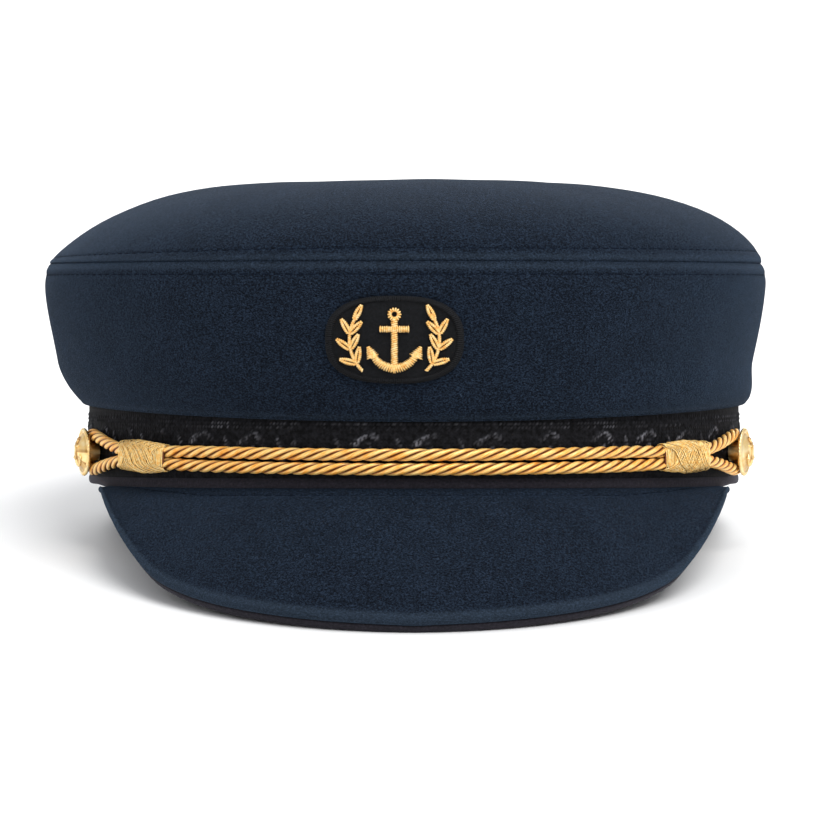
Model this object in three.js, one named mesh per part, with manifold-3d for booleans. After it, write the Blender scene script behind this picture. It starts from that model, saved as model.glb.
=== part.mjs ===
// A captain's hat of navy wool: a soft crown that rolls out over a head band, a stitched peak, and a
// gold cord that loops round a button on each side and stands off a dark braid.
// Millimetres, +Z up, the front of the hat towards -Y. The hat lies as it does on a table, tipped back
// on the rim behind and on the edge of its peak in front.
import * as THREE from 'three';
import { LoftGeometry } from 'three/addons/geometries/LoftGeometry.js';
import { mergeVertices } from 'three/addons/utils/BufferGeometryUtils.js';
import Module from 'manifold-3d';

const wasm = await Module();
wasm.setup();

const DEG = Math.PI / 180;
const TURN = 2 * Math.PI;
const STEPS_ROUND = 64;

// Head opening, an oval, and the room left between pieces that touch
const HEAD_WIDTH = 166;
const HEAD_LENGTH = 199;
const CLEARANCE = 0.3;

// Head band and the braid round it
const BAND_WALL = 2.6;
const BAND_HEIGHT = 24;
const BAND_ARCH = 4.7; // the rim stands this much higher in front, where the peak bends it up
const ARCH_SPREAD = 139 * DEG; // and comes down to this far round each side
const BRAID_WALL = 0.7;
const BRAID_MARGIN = 2; // plain band that shows under the braid

// Crown, its side and its tip
const CROWN_WALL = 1.2;
const LIP_DROP = 1; // the crown hangs this far over the band's top edge
const LIP_DROOP = 2; // and this much lower in front
const FLARE_SIDE = 7.5; // how far the crown swells out past its lip, at the sides
const FLARE_FRONT = 6; // and in front and behind
const SEAM_HEIGHT = 59.7; // the seam between side and tip, above the rim
const SEAM_BACK_DROP = 3;
const CROWN_LEAN = 2.2; // the soft crown leans over to the wearer's right
const TIP_RISE = 21.6;
const TIP_ROUND = 4; // how far out the dome stays level
const TIP_FALL = 0.64; // and how steeply it then drops, from a low number for a square shoulder
const TIP_SLUMP = 0.24; // the shoulder on the side that it leans to has sunk and is rounder

// Peak and the strip that binds its edge
const PEAK_SPREAD = 66.5 * DEG; // how far round each side the peak is sewn in
const PEAK_HALF_WIDTH = 79;
const PEAK_CORNER = 38; // the peak is at its widest this far in front of the head's middle
const PEAK_FORWARD = 38.5; // the edge stands this far in front of the band
const PEAK_DROP = 26.1; // and hangs this far under the rim
const PEAK_THICKNESS = 3.6;
const PEAK_BULGE = 2.5;
const PEAK_SEAM = 2.2; // what is tucked in under the band
const PEAK_ROLL = 1.9; // the cloth rolls this far down over the peak's edge
const BINDING_WALL = 0.6;
const BINDING_LIP = 2.5; // the binding goes on from there and this far in under the peak
const BINDING_STOP = 3 * DEG; // the binding ends this far short of the peak's corner

// Cord, its two whipped knots and the buttons
const CORD_RADIUS = 1.5;
const CORD_HEIGHT = 10.8; // between its two runs
const CORD_SPREAD = 3.5; // from run to run
const CORD_SIDES = 8;
const LOOP_RADIUS = 4.5;
const KNOT_FROM = 43.5 * DEG;
const KNOT_TO = 55.5 * DEG;
const KNOT_SPREAD = 3.1; // the whipping pulls the runs together
const KNOT_WALL = 0.6;
const KNOT_ROOM = 0.2;
const KNOT_SWELL = 0.4; // the end by the button is fatter
const BUTTON_ANGLE = 70 * DEG;
const BUTTON_RADIUS = 6.2;
const BUTTON_DOME = 2.2;
const BUTTON_RIM = 0.9;
const SHANK_ROOM = 0.5; // between the shank and the loop round it
const BUTTON_SIDES = 18;
const BUTTON_RELIEF = 0.5;

// Badge on the crown's front: a felt patch, an anchor and two sprigs of laurel
const BADGE_HEIGHT = 40.5; // its middle above the rim
const BADGE_SIDE = -2.6; // its middle beside the crown's middle
const PATCH_WIDTH = 33;
const PATCH_HEIGHT = 21;
const PATCH_THICKNESS = 1.2;
const MOTIF_THICKNESS = 1.2;
const ANCHOR_HEIGHT = 15.6;
const SPRIG_RADIUS = 10.6; // the bow of a sprig's stem
const LEAF_LENGTH = 4.4;
const LEAF_WIDTH = 1.9;
const STEM_WIDTH = 0.8;

const REST_FLAT = 0.4; // the cloth gives by this much where the hat lies on it

const NAVY = { color: '#25303f', roughness: 0.95, metalness: 0 };
const CHARCOAL = { color: '#26262b', roughness: 0.95, metalness: 0 };
const BLACK = { color: '#1c1c1e', roughness: 0.9, metalness: 0 };
const GOLD_THREAD = { color: '#d6a45a', roughness: 0.45, metalness: 0.6 };
const BRASS = { color: '#d9b068', roughness: 0.35, metalness: 1 };

// Crown's side from its lip to the seam: up as a share of the height between them, out as a share of
// the flare
const CROWN_ROWS = [
  { up: 0.0, out: 0.0 },
  { up: 0.034, out: 0.14 },
  { up: 0.105, out: 0.3 },
  { up: 0.18, out: 0.41 },
  { up: 0.32, out: 0.55 },
  { up: 0.46, out: 0.7 },
  { up: 0.6, out: 0.84 },
  { up: 0.75, out: 0.96 },
  { up: 0.86, out: 1.0 },
  { up: 0.955, out: 0.93 },
  { up: 1.0, out: 0.84 },
];

// Peak's edge: across as a share of its half width, drop as a share of its drop in front
const EDGE_ROWS = [
  { across: 0, drop: 1 },
  { across: 0.25, drop: 0.968 },
  { across: 0.44, drop: 0.923 },
  { across: 0.58, drop: 0.87 },
  { across: 0.67, drop: 0.815 },
  { across: 0.74, drop: 0.75 },
  { across: 0.8, drop: 0.665 },
  { across: 0.85, drop: 0.535 },
  { across: 0.9, drop: 0.37 },
  { across: 0.945, drop: 0.195 },
  { across: 0.98, drop: 0.05 },
  { across: 1, drop: -0.03 },
];

// One end of the cord from the knot to the button: before is the way still to go to the button's
// middle and spread the distance of a run from the cord's middle, both as shares of the loop's radius
const LOOP_ROWS = [
  { before: 5.2, spread: 0.37 },
  { before: 3.7, spread: 0.54 },
  { before: 2.2, spread: 0.76 },
  { before: 0.8, spread: 0.96 },
];

// Right half of an anchor's outline from its foot up, as shares of its height
const ANCHOR_ROWS = [
  { across: 0, up: 0 },
  { across: 0.15, up: 0.035 },
  { across: 0.28, up: 0.115 },
  { across: 0.35, up: 0.2 },
  { across: 0.43, up: 0.19 },
  { across: 0.41, up: 0.41 },
  { across: 0.23, up: 0.29 },
  { across: 0.28, up: 0.25 },
  { across: 0.21, up: 0.175 },
  { across: 0.12, up: 0.135 },
  { across: 0.05, up: 0.125 },
  { across: 0.05, up: 0.62 },
  { across: 0.21, up: 0.62 },
  { across: 0.21, up: 0.71 },
  { across: 0.05, up: 0.71 },
  { across: 0.05, up: 0.81 },
];
const ANCHOR_RING = { up: 0.895, outer: 0.1, inner: 0.045 };

// Leaves of a sprig: along as a share of its stem, side as the angle away from it
const LEAF_ROWS = [
  { along: 0.14, side: 42 },
  { along: 0.14, side: -42 },
  { along: 0.4, side: 40 },
  { along: 0.4, side: -40 },
  { along: 0.66, side: 36 },
  { along: 0.66, side: -36 },
  { along: 0.9, side: 0 },
];
const STEM_FROM = -44 * DEG;
const STEM_TO = 34 * DEG;

// Reads one column of a table against another, in a straight line between its rows.
function lookUp(rows, key, value, at) {
  const found = rows.findIndex((row) => row[key] >= at);
  const next = found < 0 ? rows.length - 1 : Math.max(1, found);
  const low = rows[next - 1];
  const high = rows[next];
  const share = THREE.MathUtils.clamp((at - low[key]) / (high[key] - low[key]), 0, 1);
  return THREE.MathUtils.lerp(low[value], high[value], share);
}

// A point round the head: phi runs from the front towards +X, out is measured from the head opening.
function around(phi, out, up) {
  const x = (HEAD_WIDTH / 2 + out) * Math.sin(phi);
  const y = -(HEAD_LENGTH / 2 + out) * Math.cos(phi);
  return new THREE.Vector3(x, y, up);
}

function outward(phi, out) {
  const x = (HEAD_LENGTH / 2 + out) * Math.sin(phi);
  const y = -(HEAD_WIDTH / 2 + out) * Math.cos(phi);
  return new THREE.Vector3(x, y, 0).normalize();
}

// A wall right round the head. profile(phi) gives its cut at phi: up the inner face, down the outer.
function ringWall(profile) {
  const sections = [];
  for (let step = 0; step <= STEPS_ROUND; step++) {
    sections.push(profile((step / STEPS_ROUND) * TURN));
  }
  return new LoftGeometry(sections, { closed: true });
}

// A closed geometry as a solid that can be joined to another or cut by it, and back.
function toSolid(geometry) {
  const loose = geometry.index ? geometry.toNonIndexed() : geometry;
  const bare = new THREE.BufferGeometry();
  bare.setAttribute('position', loose.getAttribute('position'));
  const merged = mergeVertices(bare, 1e-3);
  const mesh = new wasm.Mesh({
    numProp: 3,
    vertProperties: merged.getAttribute('position').array,
    triVerts: new Uint32Array(merged.index.array),
  });
  return new wasm.Manifold(mesh);
}

function toGeometry(solid) {
  const mesh = solid.getMesh();
  const geometry = new THREE.BufferGeometry();
  const points = Float32Array.from(mesh.vertProperties);
  geometry.setAttribute('position', new THREE.BufferAttribute(points, 3));
  geometry.setIndex(Array.from(mesh.triVerts));
  return geometry;
}

function part(name, geometry, finish) {
  const shown = geometry.index ? geometry.toNonIndexed() : geometry;
  shown.computeVertexNormals();
  const mesh = new THREE.Mesh(shown, new THREE.MeshStandardMaterial(finish));
  mesh.name = name;
  return mesh;
}

// Head band and braid

function rimHeight(phi) {
  const side = Math.abs(phi > Math.PI ? phi - TURN : phi);
  if (side >= ARCH_SPREAD) return 0;
  return BAND_ARCH * 0.5 * (1 + Math.cos((Math.PI * side) / ARCH_SPREAD));
}

function plainWall(phi, inner, outer, low, high) {
  return [
    around(phi, inner, low),
    around(phi, inner, high),
    around(phi, outer, high),
    around(phi, outer, low),
  ];
}

const BRAID_IN = BAND_WALL + CLEARANCE;
const BRAID_OUT = BRAID_IN + BRAID_WALL;

function bandGeometry() {
  return ringWall((phi) => plainWall(phi, 0, BAND_WALL, rimHeight(phi), BAND_HEIGHT));
}

function braidGeometry() {
  const low = (phi) => rimHeight(phi) + BRAID_MARGIN;
  return ringWall((phi) => plainWall(phi, BRAID_IN, BRAID_OUT, low(phi), BAND_HEIGHT - CLEARANCE));
}

// Crown

const LIP_IN = BRAID_OUT + CLEARANCE;
const LIP_OUT = LIP_IN + CROWN_WALL;

function flare(phi) {
  return THREE.MathUtils.lerp(FLARE_SIDE, FLARE_FRONT, Math.cos(phi) ** 2);
}

function lipHeight(phi) {
  return BAND_HEIGHT - LIP_DROP - LIP_DROOP * Math.max(0, Math.cos(phi)) ** 2;
}

function seamHeight(phi) {
  return SEAM_HEIGHT - SEAM_BACK_DROP * Math.max(0, -Math.cos(phi)) ** 2;
}

function lean(up) {
  return -CROWN_LEAN * THREE.MathUtils.smoothstep(up, 0, 0.3);
}

// A point of the crown's side, at a share of the way up from lip to seam, and inset from its face.
function crownPoint(phi, up, inset) {
  const out = LIP_OUT + flare(phi) * lookUp(CROWN_ROWS, 'up', 'out', up) - inset;
  const height = THREE.MathUtils.lerp(lipHeight(phi), seamHeight(phi) - CLEARANCE, up);
  const point = around(phi, out, height);
  point.x += lean(up);
  return point;
}

function crownSideGeometry() {
  const ledge = BAND_HEIGHT + CLEARANCE;
  const faceUp = [0.18, 0.46, 0.75, 0.86, 1];
  const lipTuck = 0.5 * CROWN_WALL;
  return ringWall((phi) => [
    around(phi, CLEARANCE, ledge),
    around(phi, CLEARANCE, ledge + CROWN_WALL),
    around(phi, LIP_OUT, ledge + CROWN_WALL),
    ...faceUp.map((up) => crownPoint(phi, up, CROWN_WALL)),
    ...CROWN_ROWS.map((row) => crownPoint(phi, row.up, 0)).reverse(),
    around(phi, LIP_IN + lipTuck, lipHeight(phi) - 0.4 * lipTuck),
    around(phi, LIP_IN, lipHeight(phi)),
    around(phi, LIP_IN, ledge),
  ]);
}

// One ring of the tip, at a share of the way out from its middle; the inner face is set in by the wall.
function tipRing(share, inset) {
  const ring = [];
  for (let step = 0; step < STEPS_ROUND; step++) {
    const phi = (step / STEPS_ROUND) * TURN;
    const rim = crownPoint(phi, 1, inset);
    const middle = new THREE.Vector3(lean(1), 0, SEAM_HEIGHT);
    const point = middle.lerp(rim, share);
    const slump = TIP_SLUMP * Math.max(0, -Math.sin(phi)) ** 2;
    point.z += CLEARANCE + (TIP_RISE - inset) * (1 - share ** TIP_ROUND) ** (TIP_FALL + slump);
    ring.push(point);
  }
  return ring;
}

function crownTipGeometry() {
  const outer = [1, 0.995, 0.985, 0.965, 0.93, 0.88, 0.81, 0.71, 0.58, 0.4, 0.2, 0];
  const inner = [0, 0.35, 0.68, 0.85, 0.94, 0.985, 1];
  const sections = inner.map((share) => tipRing(share, CROWN_WALL));
  sections.push(...outer.map((share) => tipRing(share, 0)));
  return new LoftGeometry(sections, { closed: true });
}

// Peak

// Where the line straight out from the root at phi meets the peak's edge.
function edgePoint(phi) {
  const root = around(phi, BAND_WALL, 0);
  const reach = HEAD_LENGTH / 2 + BAND_WALL + PEAK_FORWARD - PEAK_CORNER;
  const way = new THREE.Vector2(Math.sin(phi) / PEAK_HALF_WIDTH, -Math.cos(phi) / reach);
  const from = new THREE.Vector2(root.x / PEAK_HALF_WIDTH, (root.y + PEAK_CORNER) / reach);
  const half = from.dot(way) / way.lengthSq();
  const gap = (from.lengthSq() - 1) / way.lengthSq();
  const length = Math.sqrt(half * half - gap) - half;
  const x = root.x + length * Math.sin(phi);
  const y = root.y - length * Math.cos(phi);
  const drop = PEAK_DROP * lookUp(EDGE_ROWS, 'across', 'drop', Math.abs(x) / PEAK_HALF_WIDTH);
  return new THREE.Vector3(x, y, -drop);
}

// The peak's cut at phi: its root under the band, its edge, and the ways out and up from it.
function peakFrame(phi) {
  const root = around(phi, BAND_WALL, rimHeight(Math.abs(phi)) - CLEARANCE);
  const edge = edgePoint(phi);
  const out = edge.clone().sub(root);
  const width = out.length();
  out.normalize();
  const along = new THREE.Vector3(0, 0, 1).cross(outward(phi, BAND_WALL));
  const up = out.clone().cross(along).normalize();
  return { root, edge, width, out, up };
}

const BINDING_ROOM = CLEARANCE + BINDING_WALL;

function peakTop(phi, share) {
  const { root, edge, width, up } = peakFrame(phi);
  const bulge = PEAK_BULGE * Math.min(1, (width / PEAK_FORWARD) ** 2);
  edge.addScaledVector(up, (PEAK_THICKNESS + BINDING_ROOM) / 2);
  const point = root.clone().lerp(edge, share);
  return point.addScaledVector(up, bulge * 4 * share * (1 - share));
}

// A point forward of another along the peak and above it, square to its face.
function besidePeak(phi, from, forward, high) {
  const { out, up } = peakFrame(phi);
  return from.clone().addScaledVector(out, forward).addScaledVector(up, high);
}

// The peak's cut from its root out, over the rolled edge, in to the step where the binding lies, and
// back along the underside.
function peakSection(phi) {
  const tuck = around(phi, BAND_WALL - PEAK_SEAM, rimHeight(Math.abs(phi)) - CLEARANCE);
  const top = peakTop(phi, 1);
  return [
    tuck,
    ...[0, 0.2, 0.4, 0.6, 0.8, 1].map((share) => peakTop(phi, share)),
    besidePeak(phi, top, 0.7 * BINDING_ROOM, -0.15 * PEAK_ROLL),
    besidePeak(phi, top, BINDING_ROOM, -0.5 * PEAK_ROLL),
    besidePeak(phi, top, BINDING_ROOM, -PEAK_ROLL),
    besidePeak(phi, top, 0, -PEAK_ROLL),
    ...[1, 0.67, 0.33, 0].map((share) => besidePeak(phi, peakTop(phi, share), 0, -PEAK_THICKNESS)),
  ];
}

function bindingSection(phi) {
  const { width } = peakFrame(phi);
  const lip = Math.min(BINDING_LIP, 0.5 * width);
  const top = peakTop(phi, 1);
  const back = peakTop(phi, 1 - lip / width);
  const low = -PEAK_THICKNESS;
  return [
    besidePeak(phi, top, CLEARANCE, -PEAK_ROLL - CLEARANCE),
    besidePeak(phi, top, BINDING_ROOM, -PEAK_ROLL - CLEARANCE),
    besidePeak(phi, top, BINDING_ROOM, low - 0.4 * BINDING_ROOM),
    besidePeak(phi, top, 0.6 * BINDING_ROOM, low - BINDING_ROOM),
    besidePeak(phi, back, 0, low - BINDING_ROOM),
    besidePeak(phi, back, 0, low - CLEARANCE),
    besidePeak(phi, top, CLEARANCE, low - CLEARANCE),
  ];
}

function acrossPeak(section, spread, steps) {
  const sections = [];
  for (let step = 0; step <= steps; step++) {
    sections.push(section(THREE.MathUtils.lerp(-spread, spread, step / steps)));
  }
  return new LoftGeometry(sections, { closed: true, capStart: true, capEnd: true });
}

function peakGeometry() {
  return acrossPeak(peakSection, PEAK_SPREAD, 32);
}

function bindingGeometry() {
  return acrossPeak(bindingSection, PEAK_SPREAD - BINDING_STOP, 32);
}

// Cord, knots and buttons

const CORD_OUT = BRAID_OUT + CLEARANCE + CORD_RADIUS;
const KNOT_HALF_DEPTH = CORD_RADIUS + KNOT_ROOM + KNOT_WALL;
const KNOT_OUT = BRAID_OUT + CLEARANCE + KNOT_HALF_DEPTH;

// The cord's distance from the head and from its middle line, at phi on a run between the knots.
function cordRun(phi) {
  const knot = THREE.MathUtils.smoothstep(Math.abs(phi), KNOT_FROM - 7 * DEG, KNOT_FROM);
  const out = THREE.MathUtils.lerp(CORD_OUT, KNOT_OUT, knot);
  const spread = THREE.MathUtils.lerp(CORD_SPREAD, KNOT_SPREAD, knot) / 2;
  return { phi, out, spread };
}

// The way round the loop at +X, from the knot on the upper run to the knot on the lower one.
function loopRoute() {
  const speed = Math.hypot(HEAD_WIDTH / 2 * Math.cos(BUTTON_ANGLE), HEAD_LENGTH / 2 * Math.sin(BUTTON_ANGLE));
  const angle = (way) => BUTTON_ANGLE + (way * LOOP_RADIUS) / (speed + CORD_OUT);
  const near = LOOP_ROWS.map((row) => {
    const share = Math.min(1, row.before / LOOP_ROWS[0].before);
    const out = THREE.MathUtils.lerp(CORD_OUT, KNOT_OUT, share ** 2);
    return { phi: angle(-row.before), out, spread: row.spread * LOOP_RADIUS };
  });
  const far = [90, 60, 30, 0, -30, -60, -90].map((turn) => {
    const way = Math.cos(turn * DEG);
    return { phi: angle(way), out: CORD_OUT, spread: LOOP_RADIUS * Math.sin(turn * DEG) };
  });
  const back = near.map((stop) => ({ ...stop, spread: -stop.spread })).reverse();
  return [...near, ...far, ...back];
}

function cordRoute() {
  const angles = [];
  for (let step = -12; step <= 12; step++) {
    angles.push((step / 12) * KNOT_TO);
  }
  const upper = angles.map((phi) => cordRun(phi));
  const right = loopRoute();
  const lower = upper.map((stop) => ({ ...stop, spread: -stop.spread })).reverse();
  const left = right.map((stop) => ({ ...stop, phi: -stop.phi, spread: -stop.spread }));
  return [...upper, ...right, ...lower, ...left].map((stop) => {
    const point = around(stop.phi, stop.out, CORD_HEIGHT + stop.spread);
    return { point, out: outward(stop.phi, stop.out) };
  });
}

function cordGeometry() {
  const route = cordRoute();
  const count = route.length;
  const sections = [];
  for (let step = 0; step <= count; step++) {
    const here = route[step % count];
    const before = route[(step + count - 1) % count].point;
    const after = route[(step + 1) % count].point;
    const along = after.clone().sub(before).normalize();
    const side = along.clone().cross(here.out).normalize();
    const out = side.clone().cross(along);
    const ring = [];
    for (let corner = 0; corner < CORD_SIDES; corner++) {
      const turn = (corner / CORD_SIDES) * TURN;
      const point = here.point.clone().addScaledVector(out, CORD_RADIUS * Math.cos(turn));
      ring.push(point.addScaledVector(side, CORD_RADIUS * Math.sin(turn)));
    }
    sections.push(ring);
  }
  return new LoftGeometry(sections, { closed: true });
}

// A sleeve of whipping round both runs: its cut is an upright slot shape, the same way round inside
// and out, and it follows the band from one end to the other.
function knotGeometry(side) {
  const stations = [0, 0.25, 0.5, 0.75, 1];
  const turns = 16;
  const point = (turn, share, depth) => {
    const phi = side * THREE.MathUtils.lerp(KNOT_FROM, KNOT_TO, share);
    const straight = KNOT_SPREAD / 2;
    const swell = depth > CORD_RADIUS + KNOT_ROOM ? KNOT_SWELL * (share - 0.5) : 0;
    const up = Math.sin(turn);
    const high = (depth + swell) * up + straight * Math.sign(Math.abs(up) < 1e-6 ? 0 : up);
    return around(phi, KNOT_OUT + depth * Math.cos(turn), CORD_HEIGHT + high);
  };
  const sections = [];
  for (let step = 0; step <= turns; step++) {
    const turn = -side * (step / turns) * TURN;
    const inner = stations.map((share) => point(turn, share, CORD_RADIUS + KNOT_ROOM));
    const outer = stations.map((share) => point(turn, share, KNOT_HALF_DEPTH)).reverse();
    sections.push([...inner, ...outer]);
  }
  return new LoftGeometry(sections, { closed: true });
}

function anchorShape(height) {
  const at = (row, side) => new THREE.Vector2(side * row.across * height, (row.up - 0.5) * height);
  const right = ANCHOR_ROWS.map((row) => at(row, 1));
  const left = ANCHOR_ROWS.slice(1).map((row) => at(row, -1)).reverse();
  const shape = new THREE.Shape(right);
  const middle = (ANCHOR_RING.up - 0.5) * height;
  const radius = ANCHOR_RING.outer * height;
  const gap = Math.asin(ANCHOR_ROWS.at(-1).across / ANCHOR_RING.outer);
  shape.absarc(0, middle, radius, gap - Math.PI / 2, 1.5 * Math.PI - gap, false);
  left.forEach((corner) => shape.lineTo(corner.x, corner.y));
  const hole = new THREE.Path();
  hole.absarc(0, middle, ANCHOR_RING.inner * height, 0, TURN, true);
  shape.holes.push(hole);
  return shape;
}

// A domed button, its shank towards the hat and its face along +Z, with an anchor raised on it.
function buttonGeometry() {
  const shank = LOOP_RADIUS - CORD_RADIUS - SHANK_ROOM;
  const under = CLEARANCE + 2 * CORD_RADIUS + CLEARANCE;
  const face = under + BUTTON_RIM;
  const inside = 0.8 * BUTTON_RADIUS;
  const profile = [
    [0, CLEARANCE],
    [shank, CLEARANCE],
    [shank, under],
    [0.9 * BUTTON_RADIUS, under],
    [BUTTON_RADIUS, under + 0.4 * BUTTON_RIM],
    [BUTTON_RADIUS, face - 0.2 * BUTTON_RIM],
    [0.94 * BUTTON_RADIUS, face],
    [0.86 * BUTTON_RADIUS, face],
    [inside, face - 0.3 * BUTTON_RIM],
    [0.55 * inside, under + 0.78 * BUTTON_DOME],
    [0, under + BUTTON_DOME],
  ];
  const turned = profile.map(([radius, height]) => new THREE.Vector2(radius, height));
  const body = new THREE.LatheGeometry(turned, BUTTON_SIDES);
  body.rotateX(Math.PI / 2);
  const depth = BUTTON_DOME + BUTTON_RELIEF - 0.5 * BUTTON_RIM;
  const anchor = new THREE.ExtrudeGeometry(anchorShape(1.5 * inside), {
    depth,
    bevelEnabled: false,
    curveSegments: 5,
  });
  anchor.translate(0, 0, under + 0.5 * BUTTON_RIM);
  return toGeometry(toSolid(body).add(toSolid(anchor)));
}

function placeButton(mesh, side) {
  const phi = side * BUTTON_ANGLE;
  const out = outward(phi, BRAID_OUT);
  const up = new THREE.Vector3(0, 0, 1);
  const across = up.clone().cross(out);
  mesh.position.copy(around(phi, BRAID_OUT, CORD_HEIGHT));
  mesh.quaternion.setFromRotationMatrix(new THREE.Matrix4().makeBasis(across, up, out));
  return mesh;
}

// Badge

// A point in front of the crown's face: x beside the crown's middle, height above the rim.
function onCrownFront(x, height, out) {
  let phi = 0;
  let face = around(0, 0, 0);
  for (let round = 0; round < 4; round++) {
    const up = (height - lipHeight(phi)) / (seamHeight(phi) - CLEARANCE - lipHeight(phi));
    face = crownPoint(phi, up, 0);
    const leant = lean(up);
    phi += (x - (face.x - leant)) / (HEAD_WIDTH / 2 + LIP_OUT + FLARE_FRONT);
  }
  return face.addScaledVector(outward(phi, LIP_OUT + FLARE_FRONT), out);
}

function patchGeometry() {
  const steps = 22;
  const squareness = 2.6;
  const sections = [];
  for (let step = 0; step <= steps; step++) {
    const turn = Math.PI * (1 - step / steps);
    const across = Math.sign(Math.cos(turn)) * Math.abs(Math.cos(turn)) ** (2 / squareness);
    const x = THREE.MathUtils.clamp(across, -0.995, 0.995);
    const half = 0.5 * PATCH_HEIGHT * (1 - Math.abs(x) ** squareness) ** (1 / squareness);
    const at = (share, out) => {
      return onCrownFront(BADGE_SIDE + 0.5 * PATCH_WIDTH * x, BADGE_HEIGHT + half * share, out);
    };
    const back = [-1, 0, 1].map((share) => at(share, CLEARANCE));
    const front = [1, 0, -1].map((share) => at(share, CLEARANCE + PATCH_THICKNESS));
    sections.push([...back, ...front]);
  }
  return new LoftGeometry(sections, { closed: true, capStart: true, capEnd: true });
}

// Bends a flat motif, drawn round its middle with its thickness along +Z, onto the patch.
function ontoPatch(geometry) {
  const points = geometry.getAttribute('position');
  const base = CLEARANCE + PATCH_THICKNESS + CLEARANCE;
  for (let index = 0; index < points.count; index++) {
    const x = BADGE_SIDE + points.getX(index);
    const height = BADGE_HEIGHT + points.getY(index);
    const point = onCrownFront(x, height, base + points.getZ(index));
    points.setXYZ(index, point.x, point.y, point.z);
  }
  return geometry;
}

function badgeAnchorGeometry() {
  const flat = new THREE.ExtrudeGeometry(anchorShape(ANCHOR_HEIGHT), {
    depth: MOTIF_THICKNESS,
    bevelEnabled: false,
    curveSegments: 6,
  });
  return ontoPatch(flat);
}

function leafShape() {
  const shape = new THREE.Shape();
  shape.moveTo(0, -0.15 * LEAF_WIDTH);
  shape.quadraticCurveTo(0.45 * LEAF_LENGTH, -LEAF_WIDTH, LEAF_LENGTH, 0);
  shape.quadraticCurveTo(0.45 * LEAF_LENGTH, LEAF_WIDTH, 0, 0.15 * LEAF_WIDTH);
  return shape;
}

function sprigGeometry(side) {
  const options = { depth: MOTIF_THICKNESS, bevelEnabled: false, curveSegments: 4 };
  const half = STEM_WIDTH / 2;
  const stem = new THREE.Shape();
  stem.absarc(0, 0, SPRIG_RADIUS + half, STEM_FROM, STEM_TO, false);
  stem.absarc(0, 0, SPRIG_RADIUS - half, STEM_TO, STEM_FROM, true);
  let sprig = toSolid(new THREE.ExtrudeGeometry(stem, options));
  for (const row of LEAF_ROWS) {
    const angle = THREE.MathUtils.lerp(STEM_FROM, STEM_TO, row.along);
    const leaf = new THREE.ExtrudeGeometry(leafShape(), options);
    leaf.rotateZ(Math.PI / 2 + row.side * DEG);
    leaf.translate(SPRIG_RADIUS, 0, 0);
    leaf.rotateZ(angle);
    sprig = sprig.add(toSolid(leaf));
  }
  const flat = toGeometry(sprig);
  if (side < 0) {
    flat.scale(-1, 1, 1);
    flat.setIndex(Array.from(flat.index.array).reverse());
  }
  return ontoPatch(flat);
}

// How the hat lies: tipped back until the rim behind and the peak's edge are level.

function lowestPoint(geometry, tilt) {
  const points = geometry.getAttribute('position');
  let lowest = Infinity;
  for (let index = 0; index < points.count; index++) {
    const height = points.getZ(index) * Math.cos(tilt) - points.getY(index) * Math.sin(tilt);
    lowest = Math.min(lowest, height);
  }
  return lowest;
}

function restingTilt(rim, edge) {
  let low = 0;
  let high = 30 * DEG;
  for (let round = 0; round < 50; round++) {
    const tilt = (low + high) / 2;
    if (lowestPoint(edge, tilt) < lowestPoint(rim, tilt)) low = tilt;
    else high = tilt;
  }
  return low;
}

const bandWhole = bandGeometry();
const bindingWhole = bindingGeometry();
const tilt = restingTilt(bandWhole, bindingWhole);
const tableTop = lowestPoint(bandWhole, tilt) + REST_FLAT;

// Presses a piece flat where it meets the table top.
function rested(geometry) {
  const size = 2 * (HEAD_LENGTH + PEAK_FORWARD);
  const table = new THREE.BoxGeometry(size, size, size);
  table.translate(0, 0, tableTop - size / 2);
  table.rotateX(tilt);
  return toGeometry(toSolid(geometry).subtract(toSolid(table)));
}

const hat = new THREE.Group();
hat.add(part('crown_tip', crownTipGeometry(), NAVY));
hat.add(part('crown_side', crownSideGeometry(), NAVY));
hat.add(part('band', rested(bandWhole), CHARCOAL));
hat.add(part('band_braid', braidGeometry(), BLACK));
hat.add(part('peak', peakGeometry(), NAVY));
hat.add(part('peak_binding', rested(bindingWhole), CHARCOAL));
hat.add(part('cord_loop', cordGeometry(), GOLD_THREAD));
hat.add(part('knot_left', knotGeometry(-1), GOLD_THREAD));
hat.add(part('knot_right', knotGeometry(1), GOLD_THREAD));
hat.add(placeButton(part('button_left', buttonGeometry(), BRASS), -1));
hat.add(placeButton(part('button_right', buttonGeometry(), BRASS), 1));
hat.add(part('badge_patch', patchGeometry(), BLACK));
hat.add(part('badge_anchor', badgeAnchorGeometry(), GOLD_THREAD));
hat.add(part('badge_sprig_left', sprigGeometry(-1), GOLD_THREAD));
hat.add(part('badge_sprig_right', sprigGeometry(1), GOLD_THREAD));

hat.rotation.x = -tilt;
hat.position.z = -tableTop;

const laid = new THREE.Group();
laid.add(hat);
laid.updateMatrixWorld(true);
const bounds = new THREE.Box3().setFromObject(laid, true);
hat.position.x = -(bounds.min.x + bounds.max.x) / 2;
hat.position.y = -(bounds.min.y + bounds.max.y) / 2;

export default laid;
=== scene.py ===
import math
import random

import bmesh
import bpy
from mathutils import Matrix, Vector, kdtree, noise


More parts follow.
